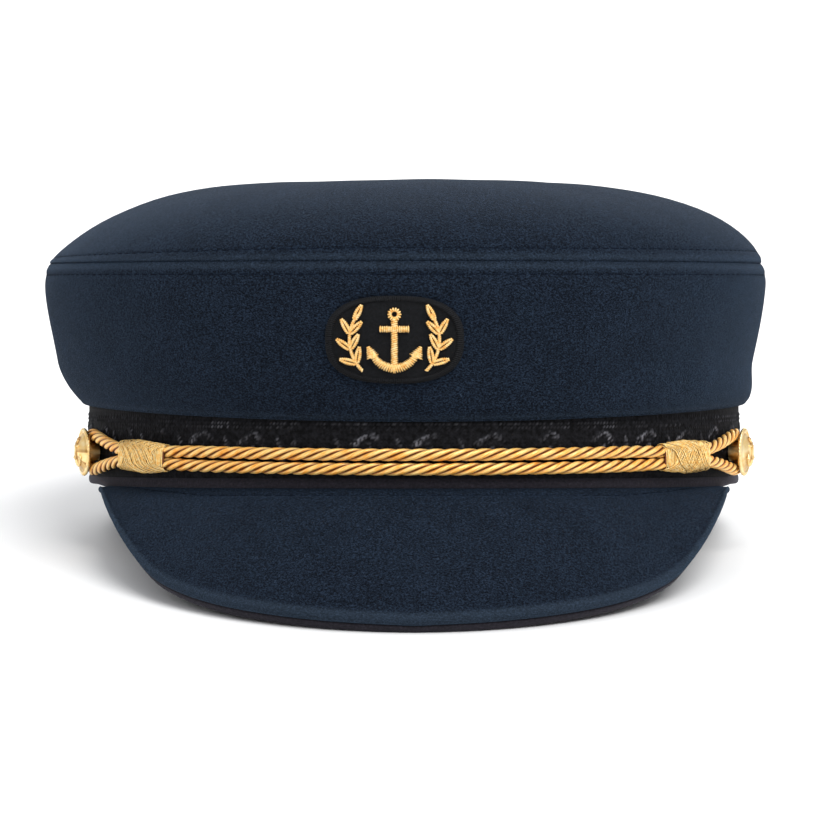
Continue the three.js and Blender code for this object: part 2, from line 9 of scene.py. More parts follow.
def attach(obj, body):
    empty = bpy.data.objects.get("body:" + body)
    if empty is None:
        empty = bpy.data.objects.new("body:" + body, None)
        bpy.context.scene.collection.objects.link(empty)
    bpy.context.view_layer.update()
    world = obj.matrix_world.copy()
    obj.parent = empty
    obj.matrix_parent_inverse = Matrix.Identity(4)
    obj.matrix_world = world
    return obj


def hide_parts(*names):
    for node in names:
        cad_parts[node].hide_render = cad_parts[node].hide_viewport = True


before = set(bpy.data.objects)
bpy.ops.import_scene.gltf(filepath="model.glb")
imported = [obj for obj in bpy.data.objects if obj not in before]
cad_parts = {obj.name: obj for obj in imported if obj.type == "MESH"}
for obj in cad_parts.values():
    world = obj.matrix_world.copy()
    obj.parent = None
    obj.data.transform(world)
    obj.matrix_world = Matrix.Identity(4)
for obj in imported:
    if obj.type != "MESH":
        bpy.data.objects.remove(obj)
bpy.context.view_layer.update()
scene = bpy.context.scene

# How the hat lies: on a table, tipped back on the rim behind and on the edge of its peak. Every piece
# is made upright in millimetres, with the front towards -Y, the middle of the head opening at
# x = y = 0 and the rim at z = 0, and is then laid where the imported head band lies.
HEAD_WIDTH = 166
HEAD_LENGTH = 199
BAND_HEIGHT = 24

band_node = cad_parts["band"]
top_faces = [face for face in band_node.data.polygons if face.normal.z > 0.95]
hat_up = sum((face.normal * face.area for face in top_faces), Vector())
hat_up.x = 0
hat_up.normalize()
hat_right = Vector((1, 0, 0))
LAID = Matrix((hat_right, hat_up.cross(hat_right), hat_up)).transposed()
corners = [LAID.inverted() @ vertex.co for vertex in band_node.data.vertices]
reach = [(min(c[axis] for c in corners), max(c[axis] for c in corners)) for axis in range(3)]
opening = Vector((sum(reach[0]) / 2, sum(reach[1]) / 2, reach[2][1] - 0.001 * BAND_HEIGHT))
HAT = Matrix.LocRotScale(LAID @ opening, LAID.to_quaternion(), Vector((0.001, 0.001, 0.001)))

# The camera stands 1.15 m in front of the badge, a little above the peak, and looks slightly down
# through a long lens.
CAMERA_AT = Vector((-1.7, -1149.6, 51.4))
LOOKS_DOWN = math.radians(1.5)
LENS = 190.5
SENSOR = 36

camera_data = bpy.data.cameras.new("camera")
camera_data.sensor_width = SENSOR
camera_data.lens = LENS
camera = bpy.data.objects.new("camera", camera_data)
scene.collection.objects.link(camera)
scene.camera = camera
sight = LAID @ Vector((0, math.cos(LOOKS_DOWN), -math.sin(LOOKS_DOWN)))
camera.location = HAT @ CAMERA_AT
camera.rotation_euler = sight.to_track_quat("-Z", "Y").to_euler()


# The studio: a matt white floor under an even white sky. Two wide soft lights stand far off, one in
# front and a lower one behind, which lifts the nap along the top of the crown.
def linear(hex_colour):
    """An sRGB hex colour as the linear RGBA that a shader takes."""
    shares = [int(hex_colour[i : i + 2], 16) / 255 for i in (1, 3, 5)]
    return [s / 12.92 if s <= 0.04045 else ((s + 0.055) / 1.055) ** 2.4 for s in shares] + [1]


def add_node(material, kind, settings=None, links=None):
    """Adds a shader node: settings are properties, inputs or ramp stops, links are nodes or outputs."""
    made = material.node_tree.nodes.new("ShaderNode" + kind)
    for key, value in (settings or {}).items():
        if key == "stops":
            ramp = made.color_ramp.elements
            for index, (place, colour) in enumerate(value):
                stop = ramp[index] if index < 2 else ramp.new(place)
                stop.position = place
                stop.color = linear(colour)
        elif isinstance(key, int) or key in made.inputs:
            made.inputs[key].default_value = value
        else:
            setattr(made, key, value)
    for key, feed in (links or {}).items():
        output = feed if isinstance(feed, bpy.types.NodeSocket) else feed.outputs[0]
        material.node_tree.links.new(output, made.inputs[key])
    return made


def new_material(name):
    """An empty node material, with the coordinates that its patterns read."""
    material = bpy.data.materials.new(name)
    material.use_nodes = True
    material.node_tree.nodes.clear()
    return material, add_node(material, "TexCoord").outputs


# Matt white paper: no gloss, a faint cloudiness.
paper, place = new_material("matt_white_paper")
cloud = add_node(paper, "TexNoise", {"Scale": 3, "Detail": 2}, {"Vector": place["Object"]})
tone = add_node(paper, "ValToRGB", {"stops": [(0.3, "#f2f2f1"), (0.7, "#f6f6f5")]}, {"Fac": cloud})
shader = add_node(paper, "BsdfDiffuse", {}, {"Color": tone})
add_node(paper, "OutputMaterial", {}, {"Surface": shader})

bm = bmesh.new()
bmesh.ops.create_grid(bm, x_segments=8, y_segments=8, size=8)
floor_mesh = bpy.data.meshes.new("floor")
bm.to_mesh(floor_mesh)
bm.free()
floor_mesh.materials.append(paper)
floor = bpy.data.objects.new("floor", floor_mesh)
scene.collection.objects.link(floor)

world = bpy.data.worlds.new("studio")
world.use_nodes = True
world.node_tree.nodes["Background"].inputs["Color"].default_value = linear("#fafbff")
world.node_tree.nodes["Background"].inputs["Strength"].default_value = 0.8
scene.world = world
scene.view_settings.view_transform = "Standard"

SOFT_LIGHTS = [
    # name, the way to it, how wide it looks (degrees), strength
    ("front_light", (0.65, -1.0, 1.75), 40, 2.1),
    ("back_light", (0.0, 1.0, 0.6), 40, 1.7),
]
for name, way, width, strength in SOFT_LIGHTS:
    lamp = bpy.data.lights.new(name, "SUN")
    lamp.angle = math.radians(width)
    lamp.energy = strength
    holder = bpy.data.objects.new(name, lamp)
    holder.location = 3 * Vector(way)
    holder.rotation_euler = Vector(way).to_track_quat("Z", "Y").to_euler()
    scene.collection.objects.link(holder)


# Head band: a stiffened strip of charcoal cloth, 24 mm high, folded over and sewn along the rim. It
# shows as a thin welt under the braid, and the peak bends its rim up in front.
BAND_WALL = 2.6
BAND_ARCH = 4.7
ARCH_SPREAD = math.radians(139)
PEAK_SPREAD = math.radians(66.5)
THREAD_SIDES = 6


def around(phi, out, up):
    """A point round the head: phi runs from the front towards +X, out is the gap to the opening."""
    x = (HEAD_WIDTH / 2 + out) * math.sin(phi)
    y = -(HEAD_LENGTH / 2 + out) * math.cos(phi)
    return Vector((x, y, up))


def outward(phi, out=0.0):
    x = (HEAD_LENGTH / 2 + out) * math.sin(phi)
    y = -(HEAD_WIDTH / 2 + out) * math.cos(phi)
    return Vector((x, y, 0)).normalized()


def mix(low, high, share):
    return low + (high - low) * share


def smoothstep(at, low, high):
    share = min(1, max(0, (at - low) / (high - low)))
    return share * share * (3 - 2 * share)


def hump(at, middle, width):
    """A soft ridge, 1 high at its middle."""
    return math.exp(-(((at - middle) / width) ** 2))


def rim_height(phi):
    side = abs(math.remainder(phi, math.tau))
    if side >= ARCH_SPREAD:
        return 0
    return BAND_ARCH * 0.5 * (1 + math.cos(math.pi * side / ARCH_SPREAD))


def wrap(bm, columns, rows, place):
    """Adds a grid whose corners place(u, v) puts where they go, joins edges that meet, keeps UVs."""
    grid = bmesh.ops.create_grid(bm, x_segments=columns, y_segments=rows, size=0.5, calc_uvs=True)
    for vertex in grid["verts"]:
        vertex.co = place(vertex.co.x + 0.5, vertex.co.y + 0.5)
    bmesh.ops.remove_doubles(bm, verts=grid["verts"], dist=1e-4)


def new_bmesh():
    bm = bmesh.new()
    bm.loops.layers.uv.new("UVMap")
    return bm


def row_at(rows, v):
    return rows[round(v * (len(rows) - 1))]


def skin(columns, rows, place):
    """A new mesh that wraps a table's rows round a piece."""
    bm = new_bmesh()
    wrap(bm, columns, len(rows) - 1, place)
    return bm


def mark(bm, name, worth):
    """Writes worth(u, v) on a grid's corners, as an attribute that its material reads."""
    layer = bm.verts.layers.float.new(name)
    uv = bm.loops.layers.uv.active
    for face in bm.faces:
        for loop in face.loops:
            loop.vert[layer] = worth(*loop[uv].uv)


def laid(name, bm, material, crease=50):
    """Shows a piece where the hat lies, flat where it meets the table, with threads' cut ends closed."""
    cut_ends = [edge for edge in bm.edges if edge.is_boundary]
    bmesh.ops.holes_fill(bm, edges=cut_ends, sides=THREAD_SIDES)
    bmesh.ops.recalc_face_normals(bm, faces=bm.faces)
    mesh = bpy.data.meshes.new(name)
    bm.to_mesh(mesh)
    bm.free()
    mesh.transform(HAT)
    for vertex in mesh.vertices:
        vertex.co.z = max(0, vertex.co.z)
    mesh.shade_smooth()
    mesh.set_sharp_from_angle(angle=math.radians(crease))
    mesh.materials.append(material)
    piece = bpy.data.objects.new(name, mesh)
    scene.collection.objects.link(piece)
    return piece


def surface(material, colour, relief, bump, gloss, links=None):
    """Ends a material: its colour, a pattern that dents it (strength, depth in m), and its gloss."""
    strength, distance = bump
    dents = add_node(material, "Bump", {"Strength": strength, "Distance": distance}, {"Height": relief})
    feeds = {"Base Color": colour, "Normal": dents, **(links or {})}
    shader = add_node(material, "BsdfPrincipled", gloss, feeds)
    add_node(material, "OutputMaterial", {}, {"Surface": shader})


def fibrous(name, pattern, stops, bump, gloss):
    """A material whose fibres both tone it, from stop to stop, and roughen it."""
    material, place = new_material(name)
    fibres = add_node(material, "TexNoise", pattern, {"Vector": place["Object"]})
    tone = add_node(material, "ValToRGB", {"stops": stops}, {"Fac": fibres})
    surface(material, tone, fibres, bump, gloss)
    return material


# Charcoal melton: a fulled wool cloth, matt, with a short dense nap and fine lighter fibres.
charcoal = fibrous(
    "charcoal_melton",
    {"Scale": 1600, "Detail": 4, "Roughness": 0.7},
    [(0.35, "#18171c"), (0.62, "#2a272e"), (0.8, "#403c46")],
    (0.5, 0.0002),
    {
        "Roughness": 0.95,
        "Specular IOR Level": 0.2,
        "Sheen Weight": 0.15,
        "Sheen Roughness": 0.45,
        "Sheen Tint": linear("#b9b6c4"),
    },
)

# Rows from the inside of the rim up, over and down, as (out from the head opening in mm, up as a
# share of the height). The lowest 2 mm are the folded welt, which stands a little proud.
BAND_ROWS = [(0.25, 0.0), (0.0, 0.015), (0.0, 0.1), (0.0, 0.5), (0.0, 0.985), (0.25, 1.0)]
BAND_ROWS += [(2.35, 1.0), (2.6, 0.985), (2.6, 0.5), (2.6, 0.14), (2.75, 0.115), (3.1, 0.1)]
BAND_ROWS += [(3.3, 0.075), (3.3, 0.04), (3.15, 0.015), (2.7, 0.0), (1.5, -0.003), (0.25, 0.0)]


def band_corner(u, v):
    phi = u * math.tau
    out, up = row_at(BAND_ROWS, v)
    soft = 0.12 * noise.noise(Vector((9 * math.cos(phi), 9 * math.sin(phi), 4 * up)))
    over_peak = smoothstep(PEAK_SPREAD + 0.14 - abs(math.remainder(phi, math.tau)), 0, 0.14)
    low = rim_height(phi) - 0.6 * over_peak
    return around(phi, out + (soft if 1 < out else 0), mix(low, BAND_HEIGHT, up))


bm = skin(512, BAND_ROWS, band_corner)
band = laid("band_cloth", bm, charcoal)
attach(band, "root")
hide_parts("band")


# Braid: a black mohair ribbon woven with a scroll of leaves between two rows of little chain loops.
# It is sewn round the outside of the band.
BRAID_IN = BAND_WALL + 0.3
BRAID_OUT = BRAID_IN + 0.7
BRAID_MARGIN = 2
BRAID_MIDDLE = 14.1
SCROLLS_ROUND = 36
CHAIN_LINKS = 8

# Leaves of one scroll: where along it, how far from the braid's middle, how turned, how long
BRAID_LEAVES = [
    (0.10, 1.9, 28, 3.4),
    (0.36, 2.6, -34, 2.6),
    (0.60, -1.9, -28, 3.4),
    (0.86, -2.6, 34, 2.6),
    (0.25, -0.9, 62, 2.0),
    (0.75, 0.9, -62, 2.0),
]
SCROLL_LENGTH = math.pi * (HEAD_WIDTH / 2 + HEAD_LENGTH / 2 + 2 * BRAID_OUT) / SCROLLS_ROUND


def braid_relief(u, height):
    """How far the weave stands out at a share of the way round and a height."""
    along = (u * SCROLLS_ROUND) % 1
    across = height - BRAID_MIDDLE
    chain = 0
    for side in (-1, 1):
        loop = Vector((((along * CHAIN_LINKS) % 1 - 0.5) * 1.9, (across - side * 5.2) / 0.95))
        chain = max(chain, hump(loop.length, 0.72, 0.25))
    stem = hump(across, 1.1 * math.sin(math.tau * along), 0.32)
    leaf_height = 0
    for where, side, turn, length in BRAID_LEAVES:
        away = math.remainder(along - where, 1) * SCROLL_LENGTH
        angle = math.radians(turn)
        long_way = away * math.cos(angle) + (across - side) * math.sin(angle)
        short_way = -away * math.sin(angle) + (across - side) * math.cos(angle)
        inside = 1 - (long_way / length) ** 2 - (short_way / 0.95) ** 2
        if inside > 0:
            vein = 0.75 + 0.25 * math.cos(math.tau * (long_way + abs(short_way)) / 1.1)
            leaf_height = max(leaf_height, math.sqrt(inside) * vein)
    return 0.3 * chain + 0.26 * stem + 0.5 * leaf_height


def braid_height(u, up):
    return mix(rim_height(u * math.tau) + BRAID_MARGIN, BAND_HEIGHT - 0.3, up)


def braid_corner(u, v):
    phi = u * math.tau
    if v < 0.04 or v > 0.96:
        at_top = 0.96 < v < 0.99
        return around(phi, BRAID_IN, braid_height(u, 1 if at_top else 0))
    up = (v - 0.05) / 0.9
    height = braid_height(u, up)
    edge = 0.25 * (hump(up, 0, 0.03) + hump(up, 1, 0.03))
    return around(phi, BRAID_OUT - 0.35 - edge + braid_relief(u, height), height)


def braid_highlight(u, v):
    """Where the weave stands out furthest it is painted paler: a painted highlight."""
    patches = 0.3 + 0.9 * noise.noise(Vector((70 * u, 3 * v, 2)))
    threads = 0.6 + 1.6 * noise.noise(Vector((700 * u, 45 * v, 8)))
    height = braid_height(u, (v - 0.05) / 0.9)
    return smoothstep(braid_relief(u, height), 0.2, 0.4) * max(0, patches) * max(0, threads) * 1.5


# Mohair braid: black, hard spun and lustrous, so its ribs catch thin lights. Rib pitch 0.55 mm.
mohair, place = new_material("black_mohair_braid")
spread_out = add_node(mohair, "Mapping", {"Scale": (0.59, 0.02, 1)}, {"Vector": place["UV"]})
waves = {"Distortion": 0.6, "Detail": 1, "wave_type": "BANDS"}
ribs = add_node(mohair, "TexWave", {**waves, "Scale": 290, "bands_direction": "X"}, {"Vector": spread_out})
picks = add_node(mohair, "TexWave", {**waves, "Scale": 320, "bands_direction": "Y"}, {"Vector": spread_out})
crossings = {0: ribs.outputs["Fac"], 1: picks.outputs["Fac"]}
weave = add_node(mohair, "Math", {"operation": "MULTIPLY"}, crossings)
lustre = add_node(mohair, "TexNoise", {"Scale": 900, "Detail": 3}, {"Vector": place["Object"]})
tone = add_node(mohair, "ValToRGB", {"stops": [(0.35, "#0f0f10"), (0.75, "#202023")]}, {"Fac": lustre})
# The raised weave is painted a paler grey from a per-vertex attribute: painted highlight.
painted_weave_highlight = add_node(mohair, "Attribute", {"attribute_name": "painted_weave_highlight"}).outputs["Fac"]
pale = {"data_type": "RGBA", 7: linear("#707076")}
highlighted_tone = add_node(mohair, "Mix", pale, {0: painted_weave_highlight, 6: tone}).outputs[2]
surface(mohair, highlighted_tone, weave, (0.45, 0.0002), {"Roughness": 0.7, "Specular IOR Level": 0.025})

bm = new_bmesh()
wrap(bm, 32 * SCROLLS_ROUND, 40, braid_corner)
mark(bm, "painted_weave_highlight", braid_highlight)
braid = laid("braid_weave", bm, mohair)
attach(braid, "root")
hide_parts("band_braid")


# Crown's side: a wall of navy melton, cut wider at the top, sewn down inside the band's upper edge so
# that it rolls out over the braid. A seam joins its two ends at the middle of the back.
LIP_IN = BRAID_OUT + 0.3
CROWN_WALL = 1.2
LIP_OUT = LIP_IN + CROWN_WALL
LEDGE = BAND_HEIGHT + 0.3
LIP_DROP = 1
LIP_DROOP = 2
FLARE_SIDE = 7.5
FLARE_FRONT = 6
SEAM_HEIGHT = 59.7
SEAM_BACK_DROP = 3
CROWN_LEAN = 2.2
STITCHES_ROUND = 196
STITCH_LINE = 3.0

# Up as a share of the height from lip to seam, out as a share of the flare
CROWN_ROWS = [(0.0, 0.0), (0.034, 0.14), (0.105, 0.3), (0.18, 0.41), (0.32, 0.55), (0.46, 0.7)]
CROWN_ROWS += [(0.6, 0.84), (0.75, 0.96), (0.86, 1.0), (0.955, 0.93), (1.0, 0.84)]


def read(rows, at):
    """Reads the second column of a short table against its first, along a smooth curve."""
    last = len(rows) - 1
    high = next((i for i, row in enumerate(rows) if row[0] >= at), last)
    high = max(1, high)
    x0, y0 = rows[high - 1]
    x1, y1 = rows[high]
    xb, yb = rows[max(0, high - 2)]
    xa, ya = rows[min(last, high + 1)]
    width = x1 - x0
    slope0 = (y1 - yb) / (x1 - xb) * width
    slope1 = (ya - y0) / (xa - x0) * width
    t = min(1, max(0, (at - x0) / width))
    bend = (2 * t - 3) * t * t
    return y0 * (1 + bend) + slope0 * t * (1 - t) ** 2 - y1 * bend - slope1 * t * t * (1 - t)


def lip_height(phi):
    return BAND_HEIGHT - LIP_DROP - LIP_DROOP * max(0, math.cos(phi)) ** 2


def seam_height(phi):
    return SEAM_HEIGHT - SEAM_BACK_DROP * max(0, -math.cos(phi)) ** 2


def crown_face(phi, up, inset):
    flare = mix(FLARE_SIDE, FLARE_FRONT, math.cos(phi) ** 2)
    out = LIP_OUT + flare * read(CROWN_ROWS, up) - inset
    point = around(phi, out, mix(lip_height(phi), seam_height(phi) - 0.3, up))
    point.x -= CROWN_LEAN * smoothstep(up, 0, 0.3)
    return point


def seam_relief(phi, away):
    """The cloth's rise at a distance from the crown's seam: turned in, padded, then pulled down."""
    stitch = 0.5 + 0.5 * math.cos(phi * STITCHES_ROUND)
    turned_in = -0.3 * max(0, 1 - away / 0.5) ** 2
    padded = 0.16 * hump(away, 1.6, 0.9)
    pulled = -(0.1 + 0.12 * stitch) * hump(away, STITCH_LINE, 0.4)
    return turned_in + padded + pulled


def seam_close(away):
    """The two turned edges lie against each other at the seam: how far each comes to the other."""
    return 0.13 * max(0, 1 - away / 1.2)


def soft_dents(phi, height):
    """The slow unevenness of cloth that nothing stiffens."""
    spot = Vector((1.7 * math.sin(phi), 1.7 * math.cos(phi), height / 42))
    fine = Vector((6 * math.sin(phi), 6 * math.cos(phi), height / 14 + 7))
    return 0.75 * noise.noise(spot) + 0.22 * noise.noise(fine)


def back_seam(phi):
    """The upright seam at the back is pressed open: a deep line between two low ridges."""
    away = abs(math.remainder(phi - math.pi, math.tau)) * (HEAD_WIDTH / 2 + LIP_OUT + FLARE_FRONT)
    return 0.15 * hump(away, 2.2, 1.0) - 0.9 * hump(away, 0, 0.7)


# Rows of the wall from the seam down its face, round the lip, over the band and back up inside.
# The face's rows are given by their distance from the seam, close together where it is stitched.
FACE_DEPTHS = [0, 0.1, 0.25, 0.45, 0.7, 1.0, 1.35, 1.7, 2.05, 2.4, 2.65, 2.85, 3.0, 3.15, 3.35, 3.6]
FACE_DEPTHS += [3.95, 4.4, 5.0, 6.0]
FACE_DEPTHS += [7.5 + 1.5 * step for step in range(17)]
FACE_DEPTHS += [32.5, 33.5, 34.4, 35.2, 35.9, 36.5, 36.9, 37.2]
SIDE_HEIGHT = 37.6
TUCK_ROWS = [
    # out from the head opening, above the lip
    (LIP_OUT - 0.1, -0.2),
    (LIP_OUT - 0.45, -0.42),
    (LIP_IN + 0.3, -0.3),
    (LIP_IN, 0.1),
    (LIP_IN, 1.2),
]
INSIDE_UPS = [0.18, 0.32, 0.46, 0.6, 0.75, 0.86, 0.95, 1.0]
side_rows = [("face", depth) for depth in FACE_DEPTHS]
side_rows += [("tuck", row) for row in TUCK_ROWS]
side_rows += [("over", (LIP_IN, LEDGE)), ("over", (0.3, LEDGE)), ("over", (0.3, LEDGE + 1.2))]
side_rows += [("over", (LIP_OUT, LEDGE + 1.2))]
side_rows += [("inside", up) for up in INSIDE_UPS] + [("face", 0)]


def side_corner(u, v):
    phi = u * math.tau
    kind, row = row_at(side_rows, v)
    if kind == "face":
        up = 1 - row / SIDE_HEIGHT
        point = crown_face(phi, up, 0)
        give = smoothstep(row, 3, 9) * smoothstep(up, 0, 0.12)
        rise = seam_relief(phi, row) + give * soft_dents(phi, point.z)
        rise += smoothstep(row, 0, 2) * back_seam(phi)
        point.z += seam_close(row)
        return point + rise * outward(phi, LIP_OUT)
    if kind == "tuck":
        return around(phi, row[0], lip_height(phi) + row[1])
    if kind == "over":
        return around(phi, *row)
    return crown_face(phi, row, CROWN_WALL)


# Navy melton: fulled and brushed wool, matt, dark, with a pale blue bloom where the nap is seen
# edge-on. The nap's grain is 0.5 mm and stray light fibres lie in it every 2 to 3 mm. Where the cloth
# is folded over an edge, and on the ridges beside the back seam, an attribute paints it paler: painted
# sheen.
melton, place = new_material("navy_melton")
brushed = add_node(melton, "Mapping", {"Scale": (1, 1, 1.6)}, {"Vector": place["Object"]})
grain = {"Scale": 1900, "Detail": 5, "Roughness": 0.75, "Distortion": 0.4}
nap = add_node(melton, "TexNoise", grain, {"Vector": brushed})
cloudiness = {"Scale": 90, "Detail": 4, "Roughness": 0.6}
clouds = add_node(melton, "TexNoise", cloudiness, {"Vector": place["Object"]})
fibres = add_node(melton, "TexNoise", {"Scale": 800, "Detail": 2, "Distortion": 2.5}, {"Vector": brushed})
depth = add_node(melton, "Math", {"operation": "MULTIPLY_ADD", 1: 0.08}, {0: clouds, 2: nap})
navy = [(0.39, "#04060a"), (0.52, "#10161f"), (0.66, "#253141")]
tone = add_node(melton, "ValToRGB", {"stops": navy}, {"Fac": depth})
few = {"operation": "MULTIPLY_ADD", 1: 9.0, 2: -6.0, "use_clamp": True}
stray = add_node(melton, "Math", few, {0: fibres})
stray_amount = add_node(melton, "Math", {"operation": "MULTIPLY", 1: 0.45}, {0: stray})
fleck = {"data_type": "RGBA", 7: linear("#46566a")}
flecked = add_node(melton, "Mix", fleck, {0: stray_amount, 6: tone})
# Painted sheen: where the piece's attribute marks a fold or a seam ridge, a paler grey-blue is mixed in.
painted_fold_sheen = add_node(melton, "Attribute", {"attribute_name": "painted_fold_sheen"}).outputs["Fac"]
fold_sheen_amount = add_node(melton, "Math", {"operation": "MULTIPLY"}, {0: painted_fold_sheen, 1: nap})
fuzz = {"data_type": "RGBA", 7: linear("#42505f")}
fold_sheened = add_node(melton, "Mix", fuzz, {0: fold_sheen_amount, 6: flecked.outputs[2]})
bloom = {
    "Roughness": 0.95,
    "Specular IOR Level": 0.06,
    "Sheen Weight": 0.12,
    "Sheen Roughness": 0.34,
    "Sheen Tint": linear("#8ab2de"),
}
surface(melton, fold_sheened.outputs[2], nap, (0.9, 0.0003), bloom)


# Painted sheen on the crown's side: paler along the seam's fold, the lip's roll and the ridges beside the
# back seam.
def side_fold_sheen(u, v):
    kind, row = row_at(side_rows, v)
    if kind != "face":
        return 0
    along_back = 0.5 if 0.1 < back_seam(u * math.tau) else 0
    return max(along_back, 0.35 * hump(row, 1.0, 0.8) + 0.3 * hump(row, SIDE_HEIGHT, 1.0))


bm = skin(4 * STITCHES_ROUND, side_rows, side_corner)
mark(bm, "painted_fold_sheen", side_fold_sheen)
crown_side = laid("crown_side_melton", bm, melton)
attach(crown_side, "root")
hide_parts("crown_side")


# Crown's tip: one oval of the same melton over a stiffened round, which holds it up as a low dome
# that drops sharply to the seam. The shoulder on the wearer's right has sunk a little.
TIP_RISE = 21.6
TIP_ROUND = 4
TIP_FALL = 0.64
TIP_SLUMP = 0.24


def tip_point(phi, share, inset):
    rim = crown_face(phi, 1, inset)
    rim.z += 0.3
    point = Vector((-CROWN_LEAN, 0, SEAM_HEIGHT)).lerp(rim, share)
    slump = TIP_SLUMP * max(0, -math.sin(phi)) ** 2
    point.z += (TIP_RISE - inset) * max(0, 1 - share**TIP_ROUND) ** (TIP_FALL + slump)
    return point


def share_at(rise):
    """How far out from the tip's middle it stands this high above the seam."""
    return (1 - (rise / TIP_RISE) ** (1 / TIP_FALL)) ** (1 / TIP_ROUND)


tip_rows = [("face", share_at(rise), rise) for rise in FACE_DEPTHS[:20]]
tip_rows += [("face", share_at(rise), rise) for rise in (7.2, 8.5, 10, 11.5, 13, 14.5)]
tip_rows += [("face", share_at(14.5) * (1 - step / 22), 20) for step in range(1, 23)]
tip_rows += [("inside", share, 20) for share in (0, 0.25, 0.5, 0.7, 0.85, 0.94, 0.985, 1)]
tip_rows += [("face", 1, 0)]


def tip_corner(u, v):
    phi = u * math.tau
    kind, share, rise = row_at(tip_rows, v)
    if kind == "inside":
        return tip_point(phi, share, CROWN_WALL)
    point = tip_point(phi, share, 0)
    spot = Vector((point.x / 55, point.y / 55, 3.3))
    give = smoothstep(rise, 3, 10)
    dent = 0.8 * noise.noise(spot) + 0.2 * noise.noise(3.5 * spot)
    point.z -= seam_close(rise)
    steep = smoothstep(share, 0.6, 0.95)
    way = mix(Vector((0, 0, 1)), outward(phi, LIP_OUT), steep).normalized()
    return point + (seam_relief(phi, rise) + give * dent) * way


# Painted sheen on the tip: paler along the fold at its seam.
def tip_fold_sheen(u, v):
    kind, share, rise = row_at(tip_rows, v)
    return 0.35 * hump(rise, 1.0, 0.8) if kind == "face" else 0


bm = skin(4 * STITCHES_ROUND, tip_rows, tip_corner)
mark(bm, "painted_fold_sheen", tip_fold_sheen)
crown_tip = laid("crown_tip_melton", bm, melton)
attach(crown_tip, "root")
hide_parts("crown_tip")


# Topstitching on both sides of the crown's seam: a row of navy thread 3 mm above it and one below,
# each stitch 2.2 mm long and drawn into the nap.
STITCH_HALF = 1.1
THREAD_RADIUS = 0.15


def sew(bm, route, stitches, closed, sink):
    """Sews stitches along a route, which gives a point and the cloth's outward side at a share."""
    for stitch in range(stitches):
        share = (stitch + 0.5) / stitches
        point, side = route(share)
        ahead, _ = route((share + 0.001) % 1 if closed else min(1, share + 0.001))
        behind, _ = route((share - 0.001) % 1 if closed else max(0, share - 0.001))
        along = (ahead - behind).normalized()
        across = along.cross(side).normalized()
        side = across.cross(along)
        turn = Matrix((across, side, along)).transposed().to_4x4()
        size = Matrix.Diagonal((THREAD_RADIUS * 1.15, THREAD_RADIUS, STITCH_HALF, 1))
        place = Matrix.Translation(point - sink * side) @ turn @ size
        bmesh.ops.create_uvsphere(bm, u_segments=6, v_segments=5, radius=1, matrix=place)


def side_stitch_route(share):
    phi = share * math.tau
    rise = seam_relief(phi, STITCH_LINE)
    side = outward(phi, LIP_OUT)
    return crown_face(phi, 1 - STITCH_LINE / SIDE_HEIGHT, 0) + rise * side, side


def tip_stitch_route(share):
    phi = share * math.tau
    side = (outward(phi, LIP_OUT) + Vector((0, 0, 0.35))).normalized()
    point = tip_point(phi, share_at(STITCH_LINE), 0)
    return point + seam_relief(phi, STITCH_LINE) * outward(phi, LIP_OUT), side


# Polyester sewing thread in navy: smoother and a little shinier than the wool.
thread = fibrous(
    "navy_sewing_thread",
    {"Scale": 2500, "Detail": 2},
    [(0.35, "#070b13"), (0.7, "#131d2c")],
    (0.4, 0.0001),
    {"Roughness": 0.85, "Specular IOR Level": 0.05},
)

bm = new_bmesh()
sew(bm, side_stitch_route, STITCHES_ROUND, True, 0.04)
sew(bm, tip_stitch_route, STITCHES_ROUND, True, 0.04)
crown_topstitch = laid("crown_topstitch", bm, thread)
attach(crown_topstitch, "root")


# Peak: a crescent of stiff board covered in the navy melton, sewn in under the front of the band.
# It is stitched down 3.5 mm from its root, and the cloth rolls over its edge.
PEAK_HALF_WIDTH = 79
PEAK_CORNER = 38
PEAK_FORWARD = 38.5
PEAK_DROP = 26.1
PEAK_THICKNESS = 3.6
PEAK_BULGE = 2.5
PEAK_SEAM = 2.2
BINDING_ROOM = 0.9
PEAK_COLUMNS = 300

# Across as a share of the half width, drop as a share of its drop in front
EDGE_ROWS = [(0, 1), (0.25, 0.968), (0.44, 0.923), (0.58, 0.87), (0.67, 0.815), (0.74, 0.75)]
EDGE_ROWS += [(0.8, 0.665), (0.85, 0.535), (0.9, 0.37), (0.945, 0.195), (0.98, 0.05), (1, -0.03)]


def edge_point(phi):
    """Where the line straight out from the root at phi meets the peak's edge."""
    root = around(phi, BAND_WALL, 0)
    reach = HEAD_LENGTH / 2 + BAND_WALL + PEAK_FORWARD - PEAK_CORNER
    way = Vector((math.sin(phi) / PEAK_HALF_WIDTH, -math.cos(phi) / reach))
    start = Vector((root.x / PEAK_HALF_WIDTH, (root.y + PEAK_CORNER) / reach))
    half = start.dot(way) / way.length_squared
    gap = (start.length_squared - 1) / way.length_squared
    length = math.sqrt(half * half - gap) - half
    x = root.x + length * math.sin(phi)
    drop = PEAK_DROP * read(EDGE_ROWS, min(1, abs(x) / PEAK_HALF_WIDTH))
    return Vector((x, root.y - length * math.cos(phi), -drop))


def peak_frame(phi):
    root = around(phi, BAND_WALL, rim_height(phi) - 0.3)
    edge = edge_point(phi)
    out = edge - root
    width = out.length
    out.normalize()
    up = out.cross(Vector((0, 0, 1)).cross(outward(phi, BAND_WALL))).normalized()
    return root, edge, width, out, up


def peak_top(phi, share):
    root, edge, width, out, up = peak_frame(phi)
    bulge = PEAK_BULGE * min(1, (width / PEAK_FORWARD) ** 2)
    point = root.lerp(edge + up * (PEAK_THICKNESS + BINDING_ROOM) / 2, share)
    return point + up * bulge * 4 * share * (1 - share)


ROOT_STITCH = 3.5
EDGE_STITCH = 3.4
ROOT_REACH = 4.8
EDGE_REACH = 4.6
END_SHARE = 0.15
ROLL_LIFT = 0.2

